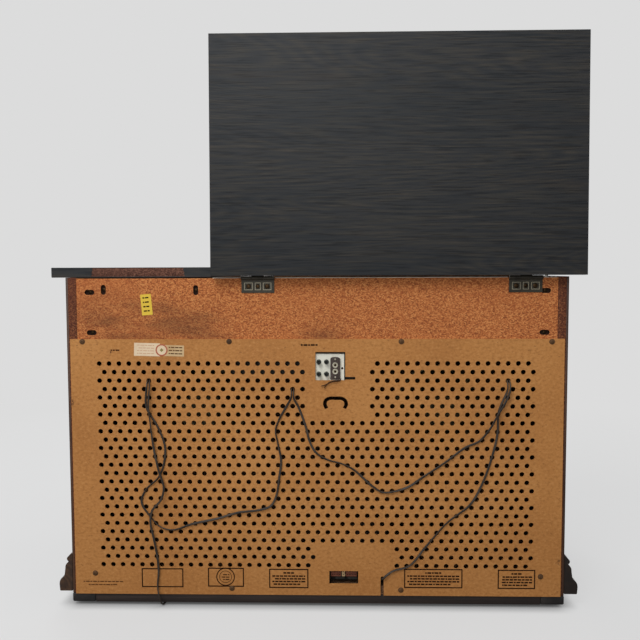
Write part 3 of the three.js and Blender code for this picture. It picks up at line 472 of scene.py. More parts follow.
def block_bm(low, high, ease, segments=2):
    bm = bmesh.new()
    bmesh.ops.create_cube(bm, size=1)
    low, high = Vector(low), Vector(high)
    size = high - low
    bmesh.ops.scale(bm, vec=size, verts=bm.verts)
    bmesh.ops.translate(bm, vec=(low + high) / 2, verts=bm.verts)
    if ease:
        edges = list(bm.edges)
        bmesh.ops.bevel(bm, geom=edges, offset=ease, segments=segments, profile=0.5, affect="EDGES")
    return bm


def board(name, low, high, finish, body="cabinet", ease=0.5, segments=2, replaces=(), turn=None):
    """A board with eased edges between two corners, moved by a matrix if one is given."""
    bm = block_bm(low, high, ease, segments)
    if turn is not None:
        bmesh.ops.transform(bm, matrix=turn, verts=bm.verts)
    return add_piece(name, mesh_from(bm), finish, body, replaces)


def rings_bm(rings, closed=False):
    """Rings of points joined by quads: a closed loop, or a run with a face on each end."""
    bm = bmesh.new()
    made = [[bm.verts.new(p) for p in ring] for ring in rings]
    count = len(made[0])
    pairs = list(zip(made, made[1:])) + ([(made[-1], made[0])] if closed else [])
    for a, b in pairs:
        for i in range(count):
            j = (i + 1) % count
            bm.faces.new((a[i], a[j], b[j], b[i]))
    if not closed:
        bm.faces.new(made[0])
        bm.faces.new(list(reversed(made[-1])))
    return bm


AXES = {
    "Z": lambda r, c, s, h: (r * c, r * s, h),
    "Y": lambda r, c, s, h: (r * c, h, r * s),
    "X": lambda r, c, s, h: (h, r * c, r * s),
}


def turned_bm(profile, centre, axis="Z", segments=48, ripple=None):
    """A turned solid: profile is (radius, height) from axis to axis. ripple scales a radius by its angle."""
    bm = bmesh.new()
    place = AXES[axis]
    rings = []
    for r, h in profile:
        if r < 1e-6:
            rings.append([bm.verts.new(Vector(place(0, 1, 0, h)) + Vector(centre))])
            continue
        ring = []
        for i in range(segments):
            a = 2 * math.pi * i / segments
            radius = r * (ripple(a, r, h) if ripple else 1.0)
            ring.append(bm.verts.new(Vector(place(radius, math.cos(a), math.sin(a), h)) + Vector(centre)))
        rings.append(ring)
    for a, b in zip(rings, rings[1:]):
        for i in range(segments):
            j = (i + 1) % segments
            if len(a) == 1 and len(b) > 1:
                bm.faces.new((a[0], b[i], b[j]))
            elif len(b) == 1 and len(a) > 1:
                bm.faces.new((a[i], a[j], b[0]))
            elif len(a) > 1:
                bm.faces.new((a[i], a[j], b[j], b[i]))
    return bm


def raised(profile, base):
    """A turned profile lifted by a base height."""
    return [(r, base + h) for r, h in profile]


def turned(
    name, profile, centre, finish, body="cabinet", axis="Z", segments=48, replaces=(), ripple=None, turn=None,
):
    """A piece turned about an axis through a centre."""
    bm = turned_bm(profile, centre, axis, segments, ripple)
    if turn is not None:
        bmesh.ops.transform(bm, matrix=turn, verts=bm.verts)
    return add_piece(name, mesh_from(bm), finish, body, replaces)


STANDING = Matrix.Rotation(math.radians(90), 4, "X")


def laid_flat(height):
    """The turn that lays a frame drawn in the XZ plane level, at a height in millimetres."""
    return Matrix(((1, 0, 0, 0), (0, 0, 1, 0), (0, 1, 0, height), (0, 0, 0, 1)))


def turn_about(point, degrees, axis):
    """A turn about an axis through a point."""
    there = Matrix.Translation(point)
    return there @ Matrix.Rotation(math.radians(degrees), 4, axis) @ Matrix.Translation(-point)


def plate_mesh(outline, holes, low, high, ease=0.0):
    """A plate with holes that stands in the XZ plane, from y low to y high."""
    curve = bpy.data.curves.new("outline", "CURVE")
    curve.dimensions = "2D"
    curve.fill_mode = "BOTH"
    curve.extrude = ((high - low) / 2 - ease) * MM
    curve.bevel_depth = ease * MM
    curve.bevel_resolution = 1
    curve.offset = -ease * MM
    for loop, wanted in [(outline, 1)] + [(hole, -1) for hole in holes]:
        turning = sum(a[0] * b[1] - b[0] * a[1] for a, b in zip(loop, loop[1:] + loop[:1]))
        ordered = loop if turning * wanted > 0 else list(reversed(loop))
        spline = curve.splines.new("POLY")
        spline.points.add(len(ordered) - 1)
        for point, (u, v) in zip(spline.points, ordered):
            point.co = (u * MM, v * MM, 0, 1)
        spline.use_cyclic_u = True
    holder = add_object("outline", curve)
    mesh = final_mesh(holder)
    bpy.data.objects.remove(holder)
    middle = (low + high) / 2 * MM
    mesh.transform(Matrix.Translation((0, middle, 0)) @ STANDING)
    bm = bmesh.new()
    bm.from_mesh(mesh)
    bmesh.ops.remove_doubles(bm, verts=bm.verts, dist=0.00002)
    bmesh.ops.recalc_face_normals(bm, faces=bm.faces)
    bm.to_mesh(mesh)
    bm.free()
    return mesh


def circle(x, z, r, segments=16):
    return [
        (x + r * math.cos(2 * math.pi * i / segments), z + r * math.sin(2 * math.pi * i / segments))
        for i in range(segments)
    ]


def rectangle(x0, x1, z0, z1):
    return [(x0, z0), (x1, z0), (x1, z1), (x0, z1)]


def screw_mesh(r, h, cross):
    """A domed screw head that faces +Z with its underside at the origin, slotted once or crosswise."""
    steps = [(r, 0), (r, h * 0.25), (r * 0.9, h * 0.62), (r * 0.68, h * 0.86), (r * 0.35, h * 0.97), (0, h)]
    head = add_object("loose", mesh_from(turned_bm([(0, 0), *steps], (0, 0, 0), "Z", 32)))
    long, half, floor = r * (0.6 if cross else 1.2), r * 0.13, h * 0.35
    tools = [block_bm((-long, -half, floor), (long, half, h * 2), 0)]
    if cross:
        tools.append(block_bm((-half, -long, floor), (half, long, h * 2), 0))
    for bm in tools:
        tool = add_object("loose", mesh_from(bm))
        modifier = head.modifiers.new("recess", "BOOLEAN")
        modifier.operation = "DIFFERENCE"
        modifier.solver = "EXACT"
        modifier.object = tool
    mesh = final_mesh(head)
    for modifier in head.modifiers:
        bpy.data.objects.remove(modifier.object)
    bpy.data.objects.remove(head)
    return mesh


FACING = {"+Y": Matrix.Rotation(math.radians(-90), 4, "X"), "+Z": Matrix.Identity(4)}


def screw(name, place, facing, size, finish, turned_by=0.0, cross=True):
    """A screw head set on a surface at a place in millimetres."""
    mesh = screw_mesh(*size, cross)
    spin = Matrix.Rotation(math.radians(turned_by), 4, "Z")
    mesh.transform(Matrix.Translation(Vector(place) * MM) @ FACING[facing] @ spin)
    return add_piece(name, mesh, finish)


# ---------------------------------------------------------------- cords, on the CAD's routes
LIE = PANEL_BACK + 3
OVER = PANEL_BACK + 8
SLOT_X = -127.5
HOOKS = [(320.4, 444), (44.2, 427.5), (-365.3, 444)]


def bight(hook, side_in):
    """A bight pushed through a hole: in on one side, round behind the hardboard, and out."""
    x, z = hook
    half = [(2.6, PANEL_BACK + 9, -15), (2.2, PANEL_BACK + 2, -0.6), (2.3, REAR - 4, 0), (8.6, REAR - 17, 0)]
    way_in = [(x + dx * side_in, y, z + dz) for dx, y, dz in half]
    way_out = [(x - dx * side_in, y, z + dz) for dx, y, dz in reversed(half)]
    return [*way_in, (x, REAR - 26, z), *way_out]


CORD_ROUTE = [
    (SLOT_X, REAR - 6, 57), (SLOT_X - 0.5, PANEL_BACK + 2, 57), (SLOT_X - 7, LIE + 2, 65),
    (-148, LIE, 74), (-180, LIE, 85), (-210, LIE, 121), (-252, LIE, 170), (-295, LIE, 205),
    (-318, LIE, 246), (-337, LIE, 302), (-346, LIE, 345), (-347, LIE + 2, 385),
    *bight(HOOKS[2], 1),
    (-359, OVER + 1, 404), (-345, OVER + 2, 380), (-332, OVER, 355), (-311, LIE, 328), (-285, LIE, 316),
    (-247, LIE, 287), (-204, LIE, 258), (-178, LIE, 240), (-152, LIE, 231), (-128, LIE, 229),
    (-108, LIE, 241), (-72, LIE, 273), (-50, LIE, 284), (-22, LIE, 292), (0, LIE, 306),
    (12, LIE, 328), (19, LIE, 355), (33, LIE, 394),
    *bight(HOOKS[1], -1),
    (56, LIE, 395), (70, LIE, 370), (77, LIE, 349), (73, LIE, 324), (67, LIE, 290), (71, LIE, 256),
    (77, LIE, 220), (88, LIE, 201), (110, LIE, 193), (150, LIE, 188), (191, LIE, 176), (240, LIE, 165),
    (278, LIE, 153), (302, LIE, 159), (322, LIE, 180), (338, LIE, 208), (329, LIE, 232),
    (304, LIE, 257), (293, LIE, 285), (291, LIE, 318), (304, LIE, 355), (325, LIE, 393),
    *bight(HOOKS[0], 1),
    (320, OVER + 1, 400), (317, OVER, 360), (311, OVER, 312), (302, OVER + 1, 270), (293, OVER + 1, 238),
    (299, OVER + 1, 214), (316, OVER + 1, 193), (320, OVER + 1, 170), (314, OVER, 136),
    (309, LIE + 1, 100), (307, LIE + 1, 70), (309, LIE + 2, 42), (305, LIE + 5, 19),
    (301, REAR + 5, 4.6), (298, REAR - 12, 2.4), (288, REAR - 60, 2.4), (272, REAR - 110, 2.4),
    (264, REAR - 146, 4.4), (262, REAR - 172, 7),
]


def smooth_route(points, step):
    """The centripetal Catmull-Rom curve through the points, sampled about every step, in millimetres."""
    places = [Vector(p) for p in points]
    places = [2 * places[0] - places[1], *places, 2 * places[-1] - places[-2]]
    line = [places[1]]
    for p0, p1, p2, p3 in zip(places, places[1:], places[2:], places[3:]):
        d0, d1, d2 = (math.sqrt((b - a).length) for a, b in ((p0, p1), (p1, p2), (p2, p3)))
        t1 = ((p1 - p0) / d0 - (p2 - p0) / (d0 + d1) + (p2 - p1) / d1) * d1
        t2 = ((p2 - p1) / d1 - (p3 - p1) / (d1 + d2) + (p3 - p2) / d2) * d1
        count = max(2, math.ceil((p2 - p1).length / step))
        for k in range(1, count + 1):
            t = k / count
            cubic = 2 * p1 - 2 * p2 + t1 + t2
            square = -3 * p1 + 3 * p2 - 2 * t1 - t2
            line.append(p1 + t1 * t + square * t * t + cubic * t * t * t)
    return line


def across(line, wanted):
    """For each point a unit vector square to the line, near the wanted one, and smoothed along it."""
    count = len(line)
    ahead = [(line[min(i + 1, count - 1)] - line[max(i - 1, 0)]).normalized() for i in range(count)]
    sides = []
    for i in range(count):
        side = wanted(i, ahead[i])
        side = (side - ahead[i] * side.dot(ahead[i])).normalized()
        if sides and side.dot(sides[-1]) < 0:
            side = -side
        sides.append(side)
    for _ in range(10):
        mean = [(sides[max(i - 1, 0)] + sides[i] * 2 + sides[min(i + 1, count - 1)]) for i in range(count)]
        sides = [(m - t * m.dot(t)).normalized() for m, t in zip(mean, ahead)]
    return ahead, sides


def tube(line, section, ahead, sides):
    """Rings of a section, (across, up) in millimetres, along a line."""
    rings = []
    for p, t, s in zip(line, ahead, sides):
        up = t.cross(s)
        rings.append([p + s * u + up * v for u, v in section])
    return rings_bm(rings)


def arc_points(radius, angles, shift=0.0):
    """Points round a centre, one for each angle in degrees."""
    turns = [math.radians(d) for d in angles]
    return [(shift + radius * math.cos(a), radius * math.sin(a)) for a in turns]


CORE_R = 1.1
CORE_SPREAD = 1.05
WIRE_R = 0.85
STRAND_R = 0.34


def make_power_cord():
    """Flat two-core cord that lies with slow twists and goes through the holes edge on."""
    line = smooth_route(CORD_ROUTE, 3.0)
    through = [0.0] * len(line)
    for i, p in enumerate(line):
        away = min(math.hypot(p.x - x, p.z - z) for x, z in HOOKS)
        through[i] = max(0.0, min(1.0, (26 - away) / 14))

    def wanted(i, ahead):
        flat = ahead.cross(Vector((0, 1, 0)))
        flat = flat.normalized() if flat.length > 0.2 else Vector((1, 0, 0))
        lean = 1.15 * math.sin(i * 0.075) * math.sin(i * 0.021 + 1.0)
        lying = flat * math.cos(lean) + Vector((0, 1, 0)) * math.sin(lean)
        if through[i] > 0.5:
            return Vector((0, 0, 1)) + Vector((0, 1, 0)) * 0.6 * abs(ahead.z)
        return lying

    ahead, sides = across(line, wanted)
    right = arc_points(CORE_R, range(-125, 126, 50), CORE_SPREAD)
    section = right + [(-u, -v) for u, v in right]
    mesh = mesh_from(tube(line, section, ahead, sides))
    cord = add_piece("mains_cord", mesh, VINYL, "cabinet", ["power_cord"], 60)
    plug = make_plug(line[-1])
    return cord


def make_plug(end):
    """A moulded two-blade plug with finger grips, where the CAD's plug lies."""
    x, y, z = end
    half, length, steps = 6.2, 26.1, 24
    rings = []
    for k in range(steps + 1):
        t = k / steps
        along = -0.9 - length * t
        width = 4.2 + 6.2 * min(1.0, t * 2.0) ** 1.4
        grip = 0.45 * math.sin(t * 34) if 0.15 < t < 0.6 else 0.0
        thick = half * min(1.0, 0.62 + t * 1.2)
        rim = 0.86 if k == steps else 1.0
        outline = []
        for i in range(20):
            a = 2 * math.pi * i / 20
            c, s = math.cos(a), math.sin(a)
            outline.append((
                x + (width + grip) * rim * math.copysign(abs(c) ** 0.55, c), y + along,
                z + thick * rim * math.copysign(abs(s) ** 0.55, s),
            ))
        rings.append(outline)
    plug = add_piece("plug_body", mesh_from(rings_bm(rings)), VINYL, "cabinet", ["power_plug"], 50)
    for side, dx in (("left", -6.35), ("right", 6.35)):
        low, high = (x + dx - 0.75, y - 44, z - 3.15), (x + dx + 0.75, y - 26, z + 3.15)
        board(f"plug_blade_{side}", low, high, STEEL, ease=0.3)
    return plug


def make_pigtail():
    """The antenna pigtail: a pair of thin wires that part near their bare ends."""
    y = PANEL_BACK + 4
    pair = [(-47.6, y - 3, 447), (-46, y - 1, 444.8), (-38, y, 444), (-28, y, 442), (-20.4, y - 1, 436.7)]
    ends = {
        "lower": (-WIRE_R, [(-18, y - 1, 433.5), (-17.1, y - 1, 430.6)]),
        "upper": (WIRE_R, [(-15.5, y - 1, 435.4), (-10.6, y - 1, 434.3)]),
    }
    for name, (aside, tail) in ends.items():
        route = [(px, py + aside * 0.4, pz + aside) for px, py, pz in pair] + tail
        line = smooth_route(route, 1.0)
        ahead, sides = across(line, lambda i, t: Vector((0, 1, 0)))
        mesh = mesh_from(tube(line, arc_points(WIRE_R, range(0, 360, 36)), ahead, sides))
        replaced = ["antenna_pigtail"] if name == "lower" else []
        wire = add_piece(f"antenna_wire_{name}", mesh, WIRE_BROWN, "cabinet", replaced, 60)
        tip_line = [line[-1] + ahead[-1] * d for d in (-0.4, 1.0, 2.4)]
        bundle = arc_points(STRAND_R, range(0, 360, 30))
        strands = [(u * (1 + 0.25 * (k % 2)), v) for k, (u, v) in enumerate(bundle)]
        tip_mesh = mesh_from(tube(tip_line, strands, [ahead[-1]] * 3, [sides[-1]] * 3))
        tip = add_piece(f"antenna_tip_{name}", tip_mesh, COPPER, "cabinet", (), 60)


make_power_cord()
make_pigtail()


# ---------------------------------------------------------------- base
RUNNER_W = 46
BASE_RAIL_W = 60


def make_base():
    for node in ("glide_front_left", "glide_front_right", "glide_rear_left", "glide_rear_right"):
        low, high = node_box(node)
        centre = ((low.x + high.x) / 2, (low.y + high.y) / 2, 0)
        profile = [(0, 0), (7, 0), (8.2, 0.3), (10.2, 1.5), (11, 2.9), (11, 5.4), (10.6, 5.7), (0, 5.7)]
        turned(node.replace("glide", "glide_cup"), profile, centre, STEEL, replaces=[node])
    x1, z0, z1 = BASE_HIGH.x, BASE_LOW.z, BASE_HIGH.z
    inner = x1 - RUNNER_W
    for side, near, far, stands_for in (("left", -x1, -inner, ["base_frame"]), ("right", inner, x1, [])):
        low, high = (near, FRONT, z0), (far, REAR, z1)
        board(f"base_runner_{side}", low, high, BASE_BLACK, ease=3.2, segments=4, replaces=stands_for)
    board("base_rail_front", (-inner, FRONT, z0), (inner, FRONT + BASE_RAIL_W, z1), BASE_BROWN, ease=1)
    board("base_rail_rear", (-inner, REAR - BASE_RAIL_W, z0), (inner, REAR - 0.6, z1), BASE_BROWN, ease=1)
    carry("bottom_board", PLAIN_BOARD, 0.5)


def bezier(p0, p1, p2, count):
    """Points of a quadratic curve after its first one."""
    points = []
    for k in range(1, count + 1):
        t = k / count
        start, bend, end = (1 - t) ** 2, 2 * t * (1 - t), t * t
        points.append(tuple(start * a + bend * b + end * c for a, b, c in zip(p0, p1, p2)))
    return points


MOULDING_Z = 28


def moulding_section():
    """The base moulding: (out from the cabinet, up from its lower edge)."""
    points = [(0, 0.8), (0.8, 0), (24, 0), (25, 1), (26, 13)]
    points += bezier((26, 13), (26, 25), (16.5, 28), 8)
    points += bezier((16.5, 28), (14.4, 38), (13.4, 50), 7)
    points += bezier((13.4, 50), (11.5, 56), (6.2, 58), 6)
    points += bezier((6.2, 58), (11.8, 62), (9.8, 66), 6)
    points += [(9.3, 67), (2, 75), (0, 75)]
    return points


def make_mouldings():
    section = moulding_section()
    body_half = SIDE_HIGH.x
    for side, sign in (("left", -1), ("right", 1)):
        near, far = [], []
        for u, v in section:
            x = sign * (body_half + GAP + u)
            near.append((x, FRONT - u, MOULDING_Z + v))
            far.append((x, REAR, MOULDING_Z + v))
        mesh = mesh_from(rings_bm([near, far]))
        add_piece(f"skirt_moulding_{side}", mesh, wood("Y"), "cabinet", [f"base_moulding_{side}"], 40)
    ends = []
    for sign in (-1, 1):
        ends.append([(sign * (body_half + u), FRONT - GAP - u, MOULDING_Z + v) for u, v in section])
    mesh = mesh_from(rings_bm(ends))
    add_piece("skirt_moulding_front", mesh, wood("X"), "cabinet", ["base_moulding_front"], 40)


# ---------------------------------------------------------------- carcass
SKIN_T = 4.4
LIPPING_T = 4
POCKETS = [(432.5, 613.7), (429.8, 536.4), (-435, 615), (-433.8, 536), (405.7, 618.5), (228.3, 617.4)]


def make_carcass():
    z0, z1 = SIDE_LOW.z, SIDE_HIGH.z
    inner, outer = SIDE_LOW.x, SIDE_HIGH.x
    for side, sign in (("left", -1), ("right", 1)):
        core = sorted((sign * inner, sign * (outer - SKIN_T)))
        skin = sorted((sign * (outer - SKIN_T + 0.05), sign * outer))
        core_low, core_high = (core[0], FRONT + LIPPING_T, z0), (core[1], REAR, z1)
        board(f"side_core_{side}", core_low, core_high, SIDE_BOARD, replaces=[f"side_panel_{side}"])
        lipping_high = (core[1], FRONT + LIPPING_T - 0.05, z1)
        board(f"side_lipping_{side}", (core[0], FRONT, z0), lipping_high, wood("Z"), ease=0.4)
        board(f"side_veneer_{side}", (skin[0], FRONT, z0), (skin[1], REAR - 0.4, z1), SIDE_WOOD, ease=0.8)
    carry("rear_rail", RAIL_BOARD, 0.5)
    for k, (x, z) in enumerate(POCKETS):
        screw(f"pocket_screw_{k}", (x, REAR - 4.9, z), "+Y", (3.4, 1.6), BRONZE, turned_by=31 * k)
    top = RAIL_HIGH.z
    # Thin pale strips on the rail's top edge, between the hinges: a painted highlight where that edge catches
    # the light.
    for k, (x0, x1) in enumerate([(RAIL_LOW.x + 2, -430), (-363, 76), (143, 196)]):
        low, high = (x0, REAR - 4, top - 0.1), (x1, REAR - 0.6, top + 0.9)
        board(f"rail_edge_highlight_{k}", low, high, PALE_ZINC, ease=0.2)
    carry("lid_partition", PLAIN_BOARD, 0.5)
    carry("deck_board", DECK_VINYL, 0.8)


# ---------------------------------------------------------------- top and lid
OPENING = turn_about(Vector((0, HINGE_Y, HINGE_Z)), -OPEN_ANGLE, "X")
SHEET_T = 0.9
BACKING_T = 1.7
BAND_T = 0.7
TOP_FRONT = FIXED_LOW.y
TOP_LOW, TOP_HIGH = FIXED_LOW.z, FIXED_HIGH.z


def torn(x, lean, z0, z1):
    """The ragged end of an edge band, from its foot to its top."""
    points = []
    count = 9
    for k in range(count + 1):
        t = k / count
        points.append((x + lean * t + 1.6 * math.sin(9.1 * t + x) * math.sin(23 * t), z0 + (z1 - z0) * t))
    return points


def laminated_top(prefix, x0, x1, node, body, turn=None, bare=None):
    """A chipboard core with laminate over it, a backing sheet and four edge bands."""
    back, front = REAR, TOP_FRONT
    z0, z1 = TOP_LOW, TOP_HIGH
    low, high = z0 + BACKING_T, z1 - SHEET_T
    layers = [
        ("core", (x0 + BAND_T, front + BAND_T, low), (x1 - BAND_T, back - BAND_T, high), BARE_EDGE, 0.2),
        ("laminate", (x0, front, high), (x1, back, z1), LAMINATE, 0.35),
        ("backing", (x0 + 0.2, front + 0.2, z0), (x1 - 0.2, back - 0.2, low), INNER_SKIN, 0.3),
        ("band_front", (x0, front, low), (x1, front + BAND_T, high), LAMINATE, 0.2),
        ("band_left", (x0, front, low), (x0 + BAND_T, back, high), LAMINATE, 0.2),
        ("band_right", (x1 - BAND_T, front, low), (x1, back, high), LAMINATE, 0.2),
    ]
    if bare is None:
        layers.append(("band_rear", (x0, back - BAND_T, low), (x1, back, high), LAMINATE, 0.2))
    for layer, near, far, finish, ease in layers:
        stands_for = [node] if layer == "core" else []
        board(f"{prefix}_{layer}", near, far, finish, body, ease, replaces=stands_for, turn=turn)
    if bare is None:
        return
    left = [(x0, low), *torn(bare[0], 3, low, high), (x0, high)]
    right = [(x1, low), (x1, high), *reversed(torn(bare[1], -2, low, high))]
    for side, outline in (("left", left), ("right", right)):
        add_piece(f"{prefix}_band_rear_{side}", plate_mesh(outline, [], back - BAND_T, back), LAMINATE, body)


def make_tops():
    laminated_top("fixed_top", FIXED_LOW.x, FIXED_HIGH.x, "fixed_top", "cabinet", bare=(249, 428))
    lid_low, lid_high = node_box("lid_panel")
    laminated_top("lid", lid_low.x, lid_high.x, "lid_panel", "lid", turn=OPENING)
    for side, x in (("left", -470), ("right", 160)):
        felt = [(0, 0), (7, 0), (7, -0.14), (6.6, -0.22), (0, -0.24)]
        turned(f"lid_felt_{side}", felt, (x, TOP_FRONT + 16, TOP_LOW), RUBBER, "lid", turn=OPENING)


# ---------------------------------------------------------------- front
BAY_BOTTOM, BAY_TOP = 112, 591
BAYS = {"left": (-430, -136), "centre": (-98, 98), "right": (136, 430)}
FRET_BORDER = 14
FRET_COLUMNS, FRET_ROWS = 3, 4
FRET_FRONT, FRET_BACK = FRONT + 10, FRONT + 17.7


def rib_line(x, z, dx, dz):
    """One S-curve of the lattice, from the point of an opening to its side."""
    points = []
    count = 14
    for k in range(count + 1):
        t = k / count
        a, b, c, d = (1 - t) ** 3, 3 * t * (1 - t) ** 2, 3 * t * t * (1 - t), t ** 3
        points.append(Vector((x + dx * (c + d), 0, z + dz * (a + b * 0.4 + c * 0.6))))
    return points


def join_meshes(bms):
    """One bmesh from several."""
    whole = bmesh.new()
    for bm in bms:
        mesh = bpy.data.meshes.new("part")
        bm.to_mesh(mesh)
        bm.free()
        whole.from_mesh(mesh)
        bpy.data.meshes.remove(mesh)
    return whole


def picture_frame_bm(x0, x1, z0, z1, section):
    """A mitred frame round an opening. section is (out from the opening's edge, y), in order round it."""
    corners = [(x0, z0, -1, -1), (x1, z0, 1, -1), (x1, z1, 1, 1), (x0, z1, -1, 1)]
    rings = [[(x + sx * u, y, z + sz * u) for u, y in section] for x, z, sx, sz in corners]
    return rings_bm(rings, closed=True)


def rib_bm(line, section):
    """A rib of one section, (across, y), swept along a line in the XZ plane."""
    rings = []
    for k, p in enumerate(line):
        t = (line[min(k + 1, len(line) - 1)] - line[max(k - 1, 0)]).normalized()
        s = Vector((t.z, 0, -t.x))
        rings.append([p + s * u + Vector((0, y, 0)) for u, y in section])
    return rings_bm(rings)


def make_fretwork(side):
    """A lattice of S-curved ribs in a moulded border."""
    x0, x1 = BAYS[side][0] + GAP, BAYS[side][1] - GAP
    z0, z1 = BAY_BOTTOM + GAP, BAY_TOP - GAP
    fx0, fx1, fz0, fz1 = x0 + FRET_BORDER, x1 - FRET_BORDER, z0 + FRET_BORDER, z1 - FRET_BORDER
    px, pz = (fx1 - fx0) / FRET_COLUMNS, (fz1 - fz0) / FRET_ROWS
    half, front, back = 3.0, FRET_FRONT, FRET_BACK
    crest = [(-half, back), (-half, front + 2.6), (-half * 0.75, front + 1.0), (-half * 0.3, front)]
    crest += [(-u, y) for u, y in reversed(crest)]
    parts = []
    for i in range(FRET_COLUMNS + 1):
        for j in range(FRET_ROWS + 1):
            for sx, sz in ((-1, -1), (-1, 1), (1, -1), (1, 1)):
                if 0 <= i + sx / 2 <= FRET_COLUMNS and 0 <= j + sz / 2 <= FRET_ROWS:
                    line = rib_line(fx0 + i * px, fz0 + j * pz, sx * px / 2, sz * pz / 2)
                    parts.append(rib_bm(line, crest))
    border = [(-1.5, back), (-1.5, front + 2.5), (0, front + 1), (2, front + 1.6), (5, front + 0.4)]
    border += [(10, front), (FRET_BORDER - 1, front + 0.4), (FRET_BORDER, front + 2), (FRET_BORDER, back)]
    parts.append(picture_frame_bm(fx0, fx1, fz0, fz1, border))
    mesh = mesh_from(join_meshes(parts))
    add_piece(f"fret_lattice_{side}", mesh, wood("Z"), "cabinet", [f"fretwork_{side}"], 35)


def make_front():
    carry("front_frame", wood("Z"), 1.2, 3)
    bead = [(-0.4, 3), (-0.4, -1), (0.6, -2.6), (2.2, -3.4), (4, -2.8), (5.2, -1.4), (7, -0.9), (8.4, 0.1)]
    bead = raised([*bead, (8.4, 3)], FRONT)
    for side, (x0, x1) in BAYS.items():
        mesh = mesh_from(picture_frame_bm(x0, x1, BAY_BOTTOM, BAY_TOP, bead))
        add_piece(f"bay_bead_{side}", mesh, wood("X"), "cabinet", (), 35)
    make_fretwork("left")
    make_fretwork("right")
    make_centre_panel()
    make_grille_cloth()
    carry("baffle_board", PLAIN_BOARD, 0.5)


def make_centre_panel():
    """A raised panel with a cove round its field and a turned boss in the middle."""
    half = BAYS["centre"][1] - GAP
    z0, z1 = BAY_BOTTOM + GAP, BAY_TOP - GAP
    steps = [(0, FRONT + 17.7), (0, FRONT + 12), (16, FRONT + 12), (18, FRONT + 10.6)]
    for k in range(9):
        t = k / 8
        steps.append((18 + 15 * t, FRONT + 9.8 - 5.8 * math.sin(t * math.pi / 2) ** 1.3))
    rings = []
    for inset, y in steps:
        reach, low, high = half - inset, z0 + inset, z1 - inset
        rings.append([(-reach, y, low), (reach, y, low), (reach, y, high), (-reach, y, high)])
    mesh = mesh_from(rings_bm(rings))
    add_piece("raised_panel", mesh, wood("Z"), "cabinet", ["centre_panel"], 30)
    boss = [
        (0, 2.6), (5, 2.3), (8, 0.9), (9.5, 0.2), (12, 1.7), (17, 2.9), (22, 2.2), (24, 0.4), (27, 1.3),
        (31, 1.7), (34, 0.6), (35.5, -1.5), (0, -1.5),
    ]
    profile = [(r, FRONT + 4 - h) for r, h in boss]

    def petals(a, r, h):
        return 1.0 + (0.045 * math.cos(12 * a) if 11 < r < 33 else 0.0)

    turned("panel_rosette", profile, (0, 0, (z0 + z1) / 2), wood("Z"), axis="Y", segments=96, ripple=petals)


def make_grille_cloth():
    """Cloth stretched over the baffle behind the fretwork."""
    x0, x1, z0, z1 = CLOTH_LOW.x, CLOTH_HIGH.x, CLOTH_LOW.z, CLOTH_HIGH.z
    y = (CLOTH_LOW.y + CLOTH_HIGH.y) / 2
    columns, rows = 60, 38
    bm = bmesh.new()
    grid = []
    for j in range(rows + 1):
        line = []
        for i in range(columns + 1):
            u, v = i / columns, j / rows
            sag = 0.12 * math.sin(u * 19) * math.sin(v * 11)
            line.append(bm.verts.new((x0 + (x1 - x0) * u, y + sag, z0 + (z1 - z0) * v)))
        grid.append(line)
    for j in range(rows):
        for i in range(columns):
            bm.faces.new((grid[j][i], grid[j][i + 1], grid[j + 1][i + 1], grid[j + 1][i]))
    cloth = add_piece("woven_grille", mesh_from(bm), CLOTH, "cabinet", ["grille_cloth"])


# ---------------------------------------------------------------- back panel
PITCH_X, PITCH_Z = 19.05, 16.42
FIRST_X, FIRST_Z = 415.7, 477
HOLE_ROWS, HOLE_COLUMNS = 25, 44
HOLE_R = 4.75
WINDOW = (-81.1, -25.2, 46.8, 72.2)
PLATE_OPENING = (-56.6, 0.3, 444.7, 499.2)


def left_blank(row, column):
    """The places in the grid that have no hole: behind the jacks, and above the socket window."""
    if row <= 7:
        return 21 <= column <= (27 if row % 2 else 26)
    return row >= 23 and 22 <= column <= 29


def hole_grid():
    holes = []
    for row in range(1, HOLE_ROWS + 1):
        shift = 0 if row % 2 else PITCH_X / 2
        for column in range(HOLE_COLUMNS):
            if not left_blank(row, column):
                x = FIRST_X - shift - column * PITCH_X
                holes.append(circle(x, FIRST_Z - (row - 1) * PITCH_Z, HOLE_R, 18))
    return holes


def u_slot():
    """The inverted U slot: a round-ended band along a bent middle line."""
    middle = [
        (-54.8, 390.5), (-58.2, 398.4), (-56.2, 405.6), (-50, 409.7), (-37.5, 410.2), (-25, 409.7),
        (-19.2, 405.8), (-17.4, 398.8), (-21, 390.4),
    ]
    line = smooth_route([(u, v, 0) for u, v in middle], 2.0)
    r = 3.5
    left, right = [], []
    for k, p in enumerate(line):
        t = (line[min(k + 1, len(line) - 1)] - line[max(k - 1, 0)]).normalized()
        side = Vector((-t.y, t.x, 0)) * r
        left.append(((p + side).x, (p + side).y))
        right.append(((p - side).x, (p - side).y))
    return left + list(reversed(right))


